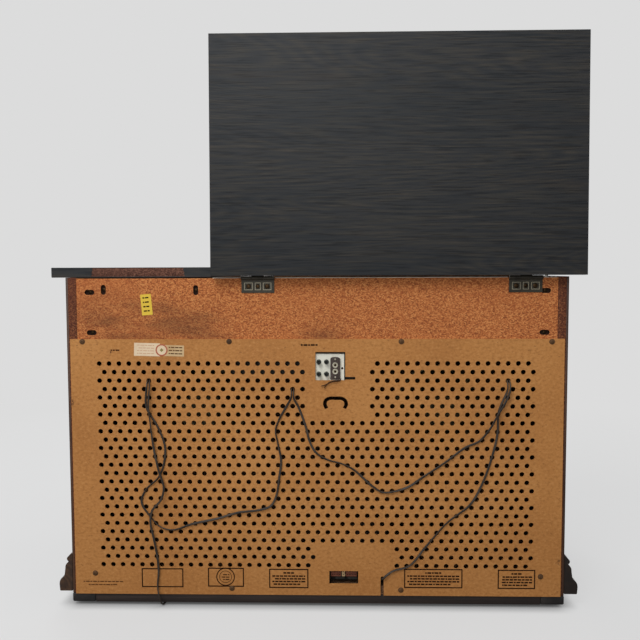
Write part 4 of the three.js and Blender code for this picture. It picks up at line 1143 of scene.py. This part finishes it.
def make_back_panel():
    half, top, foot = PANEL_HIGH.x, PANEL_HIGH.z, PANEL_LOW.z
    slot_top = 62.4
    left_of_slot = [(-3, foot), (-3, slot_top - 3), (-2.1, slot_top - 0.9)]
    right_of_slot = [(-dx, z) for dx, z in reversed(left_of_slot)]
    slot = [(SLOT_X + dx, z) for dx, z in [*left_of_slot, (0, slot_top), *right_of_slot]]
    outline = [(-half, foot), *slot, (half, foot), (half, top), (-half, top)]
    x0, x1, z0, z1 = PLATE_OPENING
    notch = [(x0, z0 + 6.7), (x0 - 19, z0 + 6.7), (x0 - 19, z0 + 1.5), (x0, z0 + 1.5)]
    opening = [(x0, z1), *notch, (x0, z0), (x1, z0), (x1, z1)]
    holes = [opening, u_slot(), rectangle(*WINDOW), *hole_grid()]
    mesh = plate_mesh(outline, holes, PANEL_FRONT, PANEL_BACK)
    add_piece("perforated_back", mesh, HARDBOARD, "cabinet", ["back_panel"], 25)


PANEL_SCREWS = [
    (447.4, 520), (165, 519.5), (-163, 519), (-447, 518.5), (432.1, 65.4), (164.5, 36.6), (-163.8, 35.4),
    (-432.1, 63.7),
]


def make_panel_screws():
    for k, (x, z) in enumerate(PANEL_SCREWS):
        z = min(z, PANEL_HIGH.z - 4.6)
        washer = [(0, 0), (5.2, 0), (5.4, 0.3), (4.9, 0.8), (3, 1.0), (0, 1.0)]
        profile = raised(washer, PANEL_BACK)
        turned(f"panel_washer_{k}", profile, (x, 0, z), DULL_BRONZE, axis="Y", segments=32)
        head = (x, PANEL_BACK + 0.9, z)
        screw(f"panel_screw_{k}", head, "+Y", (3.7, 2.2), DULL_BRONZE, turned_by=17 + 40 * k)


INK_H = 0.12
RULE_W = 2.3


def printed(name, outlines, finish=INK, base=None, turn=None):
    """Flat ink: thin plates on the hardboard, each an outline with its holes."""
    base = PANEL_BACK if base is None else base
    bms = []
    for outline, holes in outlines:
        bm = bmesh.new()
        mesh = plate_mesh(outline, holes, base, base + INK_H)
        bm.from_mesh(mesh)
        bms.append(bm)
    whole = join_meshes(bms)
    mesh = bpy.data.meshes.new(name)
    whole.to_mesh(mesh)
    whole.free()
    if turn is not None:
        mesh.transform(turn)
    return add_piece(name, mesh, finish, "cabinet", (), 0)


def outline_box(x0, x1, z0, z1):
    """A ruled frame whose line is centred on a rectangle."""
    half = RULE_W / 2
    outer = rectangle(x0 - half, x1 + half, z0 - half, z1 + half)
    return outer, [rectangle(x0 + half, x1 - half, z0 + half, z1 - half)]


def dashes(x0, x1, z, height, seed):
    """A row of short blank bars from x0 to x1, in place of print."""
    bars = []
    x = x0
    k = 0
    while x < x1 - 2:
        long = 3.2 + 4.6 * abs(math.sin(seed * 2.3 + k * 1.7))
        end = min(x + long, x1)
        bars.append((rectangle(x, end, z, z + height), []))
        x = end + 1.3
        k += 1
    return bars


def make_prints():
    """The frames printed along the panel's foot, with blank bars and a ring in place of their print."""
    printed("print_frame_1", [outline_box(260.6, 340, 38.9, 74.6)])
    ring = (circle(176.9, 59.4, 18.2, 40), [circle(176.9, 59.4, 16.2, 40)])
    inner = (circle(176.9, 59.4, 12.2, 32), [circle(176.9, 59.4, 11.2, 32)])
    bars = [b for row in range(3) for b in dashes(169.5, 185, 62.6 - row * 4.8, 2, row)]
    printed("print_frame_2", [outline_box(142.1, 210.2, 40.7, 76.3), ring, inner, *bars])
    notices = [(16.6, 90.8, 38.9, 74.9), (-281.4, -171.1, 40.6, 76.5), (-421.1, -351.4, 40.1, 75.8)]
    for k, (x0, x1, z0, z1) in enumerate(notices):
        middle, half = (x0 + x1) / 2, (x1 - x0) * 0.14
        parts = [outline_box(x0, x1, z0, z1), *dashes(middle - half, middle + half, z1 - 8.6, 3.2, 3 + k)]
        for row in range(4):
            inset = 5 if row < 3 else (x1 - x0) * 0.2
            parts += dashes(x0 + inset, x1 - 5 - (row % 2) * 2.4, z1 - 14.8 - row * 5.4, 3.0, k * 5 + row)
        printed(f"print_frame_{k + 3}", parts)
    lines = [*dashes(378, 456, 47.6, 1.9, 1), *dashes(390, 446, 41.4, 1.9, 2)]
    printed("print_lines_left", lines, INK_FAINT)
    printed("print_dashes_top", dashes(-4, 28, 511, 3.2, 4))
    printed("print_mark_top", dashes(376, 393, 501.4, 3, 6), INK_FAINT)


def label(name, outline, holes, finish, base, turn=None):
    mesh = plate_mesh(outline, holes, base, base + LABEL_T)
    if turn is not None:
        mesh.transform(turn)
    return add_piece(name, mesh, finish, "cabinet")


def about(x, z, degrees):
    """A turn in the plane of the back, about a point."""
    return turn_about(Vector((x * MM, 0, z * MM)), degrees, "Y")


LABEL_T = 0.18
SEAL = (294.7, 503.2)


def make_labels():
    tilt = about(300, 504, -1.6)
    label("sticker_white", rectangle(298, 347.7, 491, 516), [], LABEL_WHITE, PANEL_BACK, tilt)
    label("sticker_grey", rectangle(251.7, 291, 492, 513), [], LABEL_GREY, PANEL_BACK, tilt)
    seal = circle(*SEAL, 11.6, 40)
    label("sticker_seal", seal, [], LABEL_WHITE, PANEL_BACK + LABEL_T, tilt)
    printed("sticker_ring", [(seal, [circle(*SEAL, 9.1, 40)])], INK_RED, PANEL_BACK + LABEL_T * 2, tilt)
    around = ((-1.8, 0), (1.8, 0), (0, -1.8), (0, 1.8))
    petals = [(circle(SEAL[0] + dx, SEAL[1] + dz, 1.5, 16), []) for dx, dz in around]
    printed("sticker_petals", petals, INK_OLIVE, PANEL_BACK + LABEL_T * 2, tilt)
    white = [b for row in range(4) for b in dashes(309, 342, 511 - row * 5.2, 1.3, row)]
    printed("sticker_bars_white", white, INK_PINK, PANEL_BACK + LABEL_T, tilt)
    grey = [b for row in range(3) for b in dashes(255, 281, 508 - row * 6, 2.0, row + 3)]
    printed("sticker_bars_grey", grey, INK_FAINT, PANEL_BACK + LABEL_T, tilt)
    lean = about(323, 590, 5)
    label("tag_yellow", rectangle(313, 333.4, 570, 610), [], LABEL_YELLOW, REAR, lean)
    bars = [b for row in range(4) for b in dashes(318, 329.5, 602 - row * 8.4, 2.6, row + 1)]
    printed("tag_bars", bars, INK, REAR + LABEL_T, lean)


# ---------------------------------------------------------------- jacks, terminals and sockets
JACKS = [(-6, 479.8), (-20.6, 479.8), (-6, 456.5), (-20.6, 456.5)]


def make_jacks():
    carry("jack_plate", PALE_ZINC, 0.3)
    plate_y = node_box("jack_plate")[1].y
    strip_y = node_box("rca_jacks")[0].y
    board("jack_strip", (-28, strip_y, 449), (1.5, plate_y - 1.4, 487), PHENOLIC, replaces=["rca_jacks"])
    barrel = [(2.2, 4), (2.2, 9.6), (2.6, 10), (3.6, 10), (4.0, 9.6), (4.0, 1.2), (4.6, 1.0), (4.6, 0)]
    barrel += [(2.2, 0), (2.2, 4)]
    heart = [(0, 5.5), (0.9, 5.5), (1.4, 5), (2.15, 5), (2.15, 0.2), (0, 0.2)]
    for k, (x, z) in enumerate(JACKS):
        on_axis = {"centre": (x, 0, z), "axis": "Y"}
        turned(f"jack_barrel_{k}", raised(barrel, plate_y), finish=JACK_SHELL, segments=36, **on_axis)
        turned(f"jack_heart_{k}", raised(heart, plate_y), finish=BLACK, segments=24, **on_axis)
    # A flat dark disc of ink on the plate: painted shade standing in for a pilot hole.
    pilot = raised([(0, 0), (2.2, 0), (2.2, 0.12), (0, 0.12)], plate_y)
    turned("plate_pilot_hole_shade", pilot, (-50.9, 0, 467.3), INK, axis="Y", segments=24)
    make_terminals()


def make_terminals():
    """The antenna block: a board with a rounded head, two cup washers round their screws, two rivets."""
    low, high = node_box("terminal_block")
    x, y0, shoulder = (low.x + high.x) / 2, low.y, high.z - 5
    crown = [(high.x - 0.6, shoulder + 3), (x + 5, high.z - 0.4), (x, high.z), (x - 5, high.z - 0.4)]
    crown.append((low.x + 0.6, shoulder + 3))
    outline = [(low.x, low.z), (high.x, low.z), (high.x, shoulder), *crown, (low.x, shoulder)]
    mesh = plate_mesh(outline, [], y0, y0 + 4.6, ease=0.4)
    add_piece("terminal_board", mesh, TERMINAL, "cabinet", ["terminal_block"])
    cup = raised([(2.4, 4.5), (5.2, 4.5), (5.4, 5.3), (4.7, 5.9), (3.2, 5.5), (2.4, 5), (2.4, 4.5)], y0)
    for k, z in enumerate((474, 461.6)):
        turned(f"terminal_cup_{k}", cup, (x, 0, z), CUP_ZINC, axis="Y", segments=32)
        head = (x, y0 + 4.5, z)
        screw(f"terminal_screw_{k}", head, "+Y", (2.3, 1.6), BRONZE, 20 + 65 * k, cross=False)
    rivet = raised([(0, 4.5), (1.7, 4.5), (1.6, 5.3), (1.0, 5.7), (0, 5.5)], y0)
    for k, z in enumerate((485.2, 450.8)):
        turned(f"terminal_rivet_{k}", rivet, (x, 0, z), CUP_ZINC, axis="Y", segments=24)


SOCKETS = [("left", -68, 11), ("middle", -52.6, 3), ("right", -38, 10)]


def make_amplifier():
    """The chassis behind the socket window: two brown sockets with a small pale one between them."""
    carry("amplifier_chassis", DARK_METAL, 0.4)
    carry("power_transformer", PHENOLIC, 1.0)
    face = node_box("amplifier_chassis")[1].y
    for side, x, half in SOCKETS:
        finish = LABEL_GREY if side == "middle" else SOCKET_BROWN
        columns = [x + half * t for t in ((-0.66, -0.22, 0.22, 0.66) if half > 5 else (0.0,))]
        holes = [circle(u, v, 1.1, 12) for u in columns for v in (60.5, 66)]
        mesh = plate_mesh(rectangle(x - half, x + half, 57, 69.6), holes, face + 0.05, face + 2.4, ease=0.3)
        add_piece(f"socket_face_{side}", mesh, finish, "cabinet")


# ---------------------------------------------------------------- speakers
def make_speakers():
    for side in ("left", "right"):
        carry(f"speaker_frame_{side}", GREEN_ZINC, 0.3)
        carry(f"speaker_cone_{side}", CONE_PAPER, 0)


# ---------------------------------------------------------------- receiver
DIAL = (-60, 150, 100, 150)
DIAL_STEP = 33.2
FACE_TOP = 557.3
KNOBS = {"volume_knob": (-45, 15), "balance_knob": (15, 15), "tone_knob": (75, 15), "tuning_knob": (130, 22)}
KNOB_Y = -60


def knob(name, x, r):
    """A turned aluminium knob with a fluted skirt, a spun face and a pointer line."""
    z = FACE_TOP + 0.6
    skirt = [(0, 0), (r - 0.6, 0), (r, 0.6), (r, 4.4), (r - 0.5, 5), (r - 0.9, 6)]
    grip = [(r - 1.7, 16.2), (r - 2.6, 17.4), (r - 3.4, 17.8), (r - 4.4, 17.2), (0, 17.2)]
    profile = raised(skirt + grip, z)
    flutes = 44 if r < 20 else 60

    def fluted(a, radius, h):
        if z + 5.5 < h < z + 16.8:
            return 1.0 + 0.016 * math.cos(flutes * a)
        return 1.0

    centre = (x, KNOB_Y, 0)
    turned(f"{name}_body", profile, centre, BRUSHED, name, "Z", flutes * 4, [name], fluted)
    low, high = (x - 0.5, KNOB_Y + r * 0.25, z + 17.1), (x + 0.5, KNOB_Y + r - 4.6, z + 17.5)
    board(f"{name}_mark", low, high, BLACK, name, 0.1)
    collar = raised([(3.2, 0), (r * 0.8, 0), (r * 0.8, 0.4), (3.2, 0.4), (3.2, 0)], FACE_TOP)
    turned(f"{name}_collar", collar, centre, BLACK, segments=48)
    for k in range(11):
        a = math.radians(-60 + 30 * k)
        start = Vector((x + (r + 3) * math.cos(a), KNOB_Y + (r + 3) * math.sin(a), FACE_TOP + 0.1))
        turn = Matrix.Translation(start) @ Matrix.Rotation(a, 4, "Z")
        far = (2.6 if k % 5 else 4.2, 0.35, 0.08)
        board(f"{name}_tick_{k:02d}", (0, -0.35, -0.08), far, BLACK, ease=0.04, turn=turn)


def dial_number(name, text, x, y, size):
    curve = bpy.data.curves.new(name, "FONT")
    curve.body = text
    curve.size = size * MM
    curve.extrude = 0.08 * MM
    curve.align_x = "CENTER"
    holder = add_object("number", curve)
    mesh = final_mesh(holder)
    bpy.data.objects.remove(holder)
    mesh.transform(Matrix.Translation((x * MM, y * MM, (FACE_TOP - 8.0) * MM)))
    return add_piece(name, mesh, GOLD, "cabinet", (), 0)


def make_dial():
    x0, x1, y0, y1 = DIAL
    board("dial_scale", (x0 - 4, y0 - 3, FACE_TOP - 9.4), (x1 + 4, y1 + 1.5, FACE_TOP - 8.2), BLACK, ease=0.3)
    low, high = (x0 + 0.2, y0 + 0.2, FACE_TOP - 2.2), (x1 - 0.2, y1 - 0.2, FACE_TOP - 0.6)
    board("dial_window", low, high, GLASS, ease=0.3)
    upper = ["88", "92", "96", "100", "104", "108"]
    lower = ["54", "60", "70", "90", "120", "160"]
    for k in range(6):
        x = x0 + 22 + k * DIAL_STEP
        dial_number(f"dial_upper_{k}", upper[k], x, 132, 8)
        dial_number(f"dial_lower_{k}", lower[k], x, 108, 8)
    for k in range(31):
        x = x0 + 22 + k * DIAL_STEP / 6
        half = 3 if k % 6 == 0 else 1.5
        low, high = (x - 0.3, 124 - half, FACE_TOP - 8.25), (x + 0.3, 124 + half, FACE_TOP - 8.05)
        board(f"dial_tick_{k:02d}", low, high, GOLD, ease=0.04)


def make_receiver():
    carry("receiver_chassis", DARK_METAL, 0.3)
    carry("receiver_faceplate", BRUSHED, 0.5)
    for name, (x, r) in KNOBS.items():
        knob(name, x, r)
    for node in ("button_phono", "button_am", "button_fm"):
        low, high = node_box(node)
        board(f"{node}_cap", low, high, BLACK, node, 1.6, 3, [node])
        middle = (low.y + high.y) / 2
        near, far = (low.x + 5, middle - 1.2, high.z - 0.1), (high.x - 5, middle + 1.2, high.z + 0.15)
        board(f"{node}_inlay", near, far, STEEL, node, 0.08)
    carry("dial_pointer", POINTER, 0.2)
    make_dial()
    low, high = node_box("receiver_faceplate")
    corners = [(x, y) for y in (low.y + 8, high.y - 8) for x in (low.x + 7, high.x - 7)]
    for k, (x, y) in enumerate(corners):
        screw(f"faceplate_screw_{k}", (x, y, FACE_TOP), "+Z", (3.2, 1.8), STEEL, turned_by=25 * k)
    bm = picture_frame_bm(*DIAL, [(0, 0.1), (0, 1.4), (0.8, 1.9), (2.6, 1.9), (3.4, 1.2), (3.4, 0.1)])
    bmesh.ops.transform(bm, matrix=laid_flat(FACE_TOP), verts=bm.verts)
    add_piece("dial_bezel", mesh_from(bm), GOLD, "cabinet", (), 40)


# ---------------------------------------------------------------- record changer
PLATE_TOP = 562
PLATTER = (-305, 0)
ARM = (-140, 105)
ARM_Z = 592
MAT_Z = 583.2


def make_changer():
    carry("changer_plate", CHANGER, 1.6, 3)
    trim = picture_frame_bm(-440, -120, -145, 143, [(0, 0.05), (0, 0.7), (1.4, 0.7), (1.4, 0.05)])
    bmesh.ops.transform(trim, matrix=laid_flat(PLATE_TOP), verts=trim.verts)
    add_piece("changer_trim", mesh_from(trim), STEEL, "cabinet", (), 40)
    make_platter()
    spindle = [(0, 0.3), (3.6, 0.3), (3.6, 45), (3.1, 47), (3.1, 52), (2.2, 55.4), (1, 56.7), (0, 57)]
    spindle = raised(spindle, PLATE_TOP)
    turned("spindle_post", spindle, (*PLATTER, 0), STEEL, segments=32, replaces=["spindle"])
    carry("overarm", STEEL, 0.8, 2)
    make_tonearm()
    low, high = node_box("changer_lever")
    top = (high.x, high.y, low.z + 2.4)
    board("lever_slide", low, top, BLACK, "changer_lever", 0.6, replaces=["changer_lever"])
    grip = raised([(0, 0), (3, 0), (2.6, 2), (2.8, 6.4), (2.2, 7.4), (0, 7.6)], low.z + 2.2)
    centre = ((low.x + high.x) / 2, (low.y + high.y) / 2, 0)
    turned("lever_grip", grip, centre, STEEL, "changer_lever", segments=28)
    make_arm_rest()


def make_platter():
    """A steel platter with a dotted rim and a ribbed rubber mat."""
    hub = [(4.2, 0.4), (20, 0.4), (20, 6), (129, 6)]
    edge = [(131.6, 7), (132.5, 8.6), (132.5, 17.6), (131.7, 19.2), (129, 20), (128, 21.2)]
    rim = raised([*hub, *edge, (4.2, 21.2), (4.2, 0.4)], PLATE_TOP)
    turned("platter_rim", rim, (*PLATTER, 0), STEEL, "platter", segments=160, replaces=["platter"])
    mat = [(4.3, 0), (4.3, 1.2), (9, 1.6), (30, 1.2), (33, 2)]
    for r in range(36, 124, 4):
        mat += [(r, 2), (r + 0.8, 2.7), (r + 2.2, 2.7), (r + 3, 2)]
    mat += [(125, 2), (126.4, 1.4), (127, 0.1), (4.3, 0)]
    turned("platter_mat", raised(mat, MAT_Z), (*PLATTER, 0), RUBBER, "platter", segments=128)
    for k in range(48):
        a = 2 * math.pi * k / 48
        spot = Vector((PLATTER[0] + 132.4 * math.cos(a), PLATTER[1] + 132.4 * math.sin(a), 575))
        turn = Matrix.Translation(spot) @ Matrix.Rotation(a, 4, "Z")
        board(f"platter_dot_{k:02d}", (-0.2, -2.2, -2.2), (0.35, 2.2, 2.2), BLACK, "platter", 0.1, turn=turn)


# How far along the headshell, then its half width, top and underside there.
HEADSHELL = [
    (0, 4.6, 3.4, -3.2), (0.15, 6.2, 4.2, -3.8), (0.4, 8.3, 4.8, -4), (0.85, 8.5, 4.8, -4), (1, 7.4, 4.0, -3),
]


def make_tonearm():
    x, y = ARM
    base = [(0, 0.3), (15, 0.3), (15, 2.5), (14.2, 4), (13.8, 17), (12.8, 20.4), (0, 21)]
    base = raised(base, PLATE_TOP)
    turned("arm_pedestal", base, (x, y, 0), BLACK, "tonearm_gimbal", segments=48, replaces=["tonearm_gimbal"])
    for side, s in (("left", -1), ("right", 1)):
        low = (x + s * 11 - 1.5, y - 6, 580)
        board(f"arm_yoke_{side}", low, (low[0] + 3, y + 6, ARM_Z + 6), STEEL, "tonearm_gimbal", 0.8, 3)
    low, high = (x - 8.5, y - 8, ARM_Z - 6), (x + 8.5, y + 8, ARM_Z + 6)
    board("arm_block", low, high, STEEL, "tonearm", 1.2, 3, ["tonearm"])
    rod = raised([(0, -190), (3.4, -190), (3.8, -186), (3.8, 22), (0, 22)], y)
    turned("arm_tube", rod, (x, 0, ARM_Z), STEEL, "tonearm", "Y", 32)

    def knurl(a, r, h):
        return 1.0 + (0.02 * math.cos(40 * a) if y + 21 < h < y + 38 and r > 12 else 0.0)

    weight = [(0, 18), (11, 18), (12.5, 19.4), (12.5, 22), (12.2, 24), (12.2, 36), (12.5, 40.4)]
    weight = raised([*weight, (11, 42), (0, 42)], y)
    turned("arm_weight", weight, (x, 0, ARM_Z), BRUSHED, "tonearm", "Y", 160, ripple=knurl)
    rings = []
    for t, half, top, bottom in HEADSHELL:
        low, high, corner = ARM_Z + bottom, ARM_Z + top, 1.3
        outline = [(-half, low), (half, low), (half, high - corner), (half - corner, high)]
        outline += [(-half + corner, high), (-half, high - corner)]
        rings.append([(x + dx, y - 186 - 42 * t, z) for dx, z in outline])
    add_piece("arm_headshell", mesh_from(rings_bm(rings)), BLACK, "tonearm")
    low, high = (x - 6, y - 220, ARM_Z - 5.2), (x + 6, y - 200, ARM_Z - 3.8)
    board("arm_cartridge", low, high, LABEL_WHITE, "tonearm", 0.4)
    stylus = raised([(0, -5.8), (0.4, -5.6), (1.2, -5), (0, -4.8)], ARM_Z)
    turned("arm_stylus", stylus, (x, y - 215, 0), POINTER, "tonearm", segments=16)
    lift = [(8, -216, 3), (12, -218, 3), (17, -221, 5), (20, -223, 8)]
    line = smooth_route([(x + dx, y + dy, ARM_Z + dz) for dx, dy, dz in lift], 1.5)
    ahead, sides = across(line, lambda i, t: Vector((0, 0, 1)))
    section = arc_points(1.1, range(0, 360, 30))
    add_piece("arm_finger_lift", mesh_from(tube(line, section, ahead, sides)), STEEL, "tonearm", (), 60)


def make_arm_rest():
    """A collar at the foot of the CAD's rest post."""
    collar = raised([(4.1, 0), (8, 0), (8, 1), (6, 2), (4.1, 2.2), (4.1, 0)], PLATE_TOP)
    turned("arm_rest_collar", collar, (ARM[0], -40, 0), STEEL, segments=36)


# ---------------------------------------------------------------- hinges and stay
# Each tab of a rail leaf: its place across the leaf and its half width.
HINGE_TABS = [(-17.8, 8), (0, 5.5), (17.8, 8)]
TAB_Z = 624.4
LEAF_T = 1.55
STAY_FOOT = (130, 600)
STAY_ELBOW = (171.96, 777.1)


def make_hinges():
    """Two leaves to a hinge, with a pressed rim round each screw in the rail's leaf, coloured pale as a
    painted highlight.
    """
    for side in ("left", "right"):
        carry(f"hinge_leaf_rail_{side}", HINGE_BRONZE, 0.25)
        carry(f"hinge_leaf_lid_{side}", HINGE_BRONZE, 0.25)
        low, high = node_box(f"hinge_leaf_rail_{side}")
        middle = (low.x + high.x) / 2
        y = REAR + LEAF_T
        rim = raised([(0, 0), (0, 0.7), (1.1, 0.7), (1.1, 0)], y)
        for k, (dx, half) in enumerate(HINGE_TABS):
            x, z = middle + dx, TAB_Z
            mesh = mesh_from(picture_frame_bm(x - half + 1.1, x + half - 1.1, z - 6, z + 6, rim))
            add_piece(f"hinge_rim_highlight_{side}_{k}", mesh, HINGE_RIM_HIGHLIGHT, "cabinet", (), 30)
            size = (min(half - 1.6, 4.6), 1.6)
            screw(f"hinge_screw_{side}_{k}", (x, y, z), "+Y", size, BRONZE, -35 + 50 * k)


def make_stay():
    """The folding stay, with a rivet head where it stands on the cabinet and one at its elbow."""
    for node in ("stay_lower_link", "stay_upper_link", "stay_lid_bracket"):
        carry(node, ZINC, 0.3)
    rivet = [(0, 0), (4.4, 0), (4.2, 0.9), (3, 1.6), (0, 1.9)]
    foot = (node_box("stay_lower_link")[1].x, *STAY_FOOT)
    turned("stay_rivet_foot", rivet, foot, STEEL, "stay_lower", "X", 28)
    elbow = (node_box("stay_upper_link")[0].x + 2.0, *STAY_ELBOW)
    turned("stay_rivet_elbow", rivet, elbow, STEEL, "stay_upper", "X", 28)


# ---------------------------------------------------------------- floor and light
SOFT_LIGHT = 0.4
FLOOR_GLOW = 0.8
CONTACT_SHADOW = 0.03
# Each lamp's name, place and side in metres, and its power in watts.
LAMPS = [
    ("key", (0.9, 2.2, 2.6), 1.4, 46),
    ("fill", (0.3, 2.7, 1.0), 1.2, 12),
    ("front", (1.2, -3.2, 2.4), 2.2, 80),
    ("top", (0, 0.3, 3.6), 2.6, 20),
    ("side", (3.6, 0.4, 1.6), 2.0, 16),
    ("far_side", (-3.6, -0.9, 1.9), 2.0, 9),
]


def make_floor():
    """A pale floor that fades into the backdrop's tone well away from the cabinet."""
    bm = turned_bm([(0, 0), (900, 0), (1700, 0), (2600, 0)], (0, 0, 0), "Z", 96)
    bmesh.ops.delete(bm, geom=[f for f in bm.faces if f.calc_area() < 1e-9], context="FACES")
    floor_mesh = mesh_from(bm)
    floor = add_object("floor", floor_mesh)
    f = Finish("floor", "studio_floor", 0.9, specular=0.1)
    tone = f.noise(3, 2)
    f.paint(f.mix(srgb("dfe0e1"), srgb("dbdcdd"), tone))
    away = f.node("ShaderNodeVectorMath", {0: f.place}, operation="LENGTH").outputs["Value"]
    f.tree.links.new(f.mask(away, 2.3, 1.0), f.shader.inputs["Alpha"])
    open_sky = f.node("ShaderNodeAmbientOcclusion", {"Distance": CONTACT_SHADOW}, samples=16).outputs["AO"]
    levels = {"Value": open_sky, "From Min": 0.1, "To Min": 0.1}
    strength = f.node("ShaderNodeMapRange", levels).outputs["Result"]
    glow = f.node("ShaderNodeEmission", {"Color": srgb("dcdcdc"), "Strength": strength}).outputs[0]
    seen = f.node("ShaderNodeMixShader", {0: FLOOR_GLOW, 1: f.shader.outputs[0], 2: glow}).outputs[0]
    dull = f.node("ShaderNodeBsdfDiffuse", {"Color": srgb("8c8c8c")}).outputs[0]
    camera_ray = f.node("ShaderNodeLightPath").outputs["Is Camera Ray"]
    either = f.node("ShaderNodeMixShader", {0: camera_ray, 1: dull, 2: seen}).outputs[0]
    f.tree.links.new(either, f.tree.nodes["Material Output"].inputs["Surface"])
    floor_mesh.materials.append(f.material)


def make_world():
    """A backdrop that the camera sees brighter than it lights the cabinet."""
    world = bpy.data.worlds.new("studio")
    world.use_nodes = True
    nodes, links = world.node_tree.nodes, world.node_tree.links
    seen = nodes["Background"]
    seen.inputs["Color"].default_value = srgb("dcdcdc")
    soft = nodes.new("ShaderNodeBackground")
    soft.inputs["Color"].default_value = srgb("e0e0e0")
    soft.inputs["Strength"].default_value = SOFT_LIGHT
    ray = nodes.new("ShaderNodeLightPath")
    either = nodes.new("ShaderNodeMixShader")
    links.new(ray.outputs["Is Camera Ray"], either.inputs[0])
    links.new(soft.outputs[0], either.inputs[1])
    links.new(seen.outputs[0], either.inputs[2])
    links.new(either.outputs[0], nodes["World Output"].inputs["Surface"])
    bpy.context.scene.world = world
    bpy.context.scene.view_settings.view_transform = "Standard"


def make_lamps():
    """Soft square lamps, all aimed at the middle of the cabinet."""
    for name, place, size, power in LAMPS:
        data = bpy.data.lights.new(name, "AREA")
        data.size = size
        data.energy = power
        lamp = add_object(name, data)
        lamp.location = place
        aim = Vector((0, 0, 0.5)) - Vector(place)
        lamp.rotation_mode = "QUATERNION"
        lamp.rotation_quaternion = aim.to_track_quat("-Z", "Y")


make_base()
make_mouldings()
make_carcass()
make_tops()
make_front()
make_back_panel()
make_panel_screws()
make_prints()
make_labels()
make_jacks()
make_amplifier()
make_speakers()
make_receiver()
make_changer()
make_hinges()
make_stay()
carry("strain_relief", BLACK, 0.3)
make_floor()
make_world()
make_lamps()
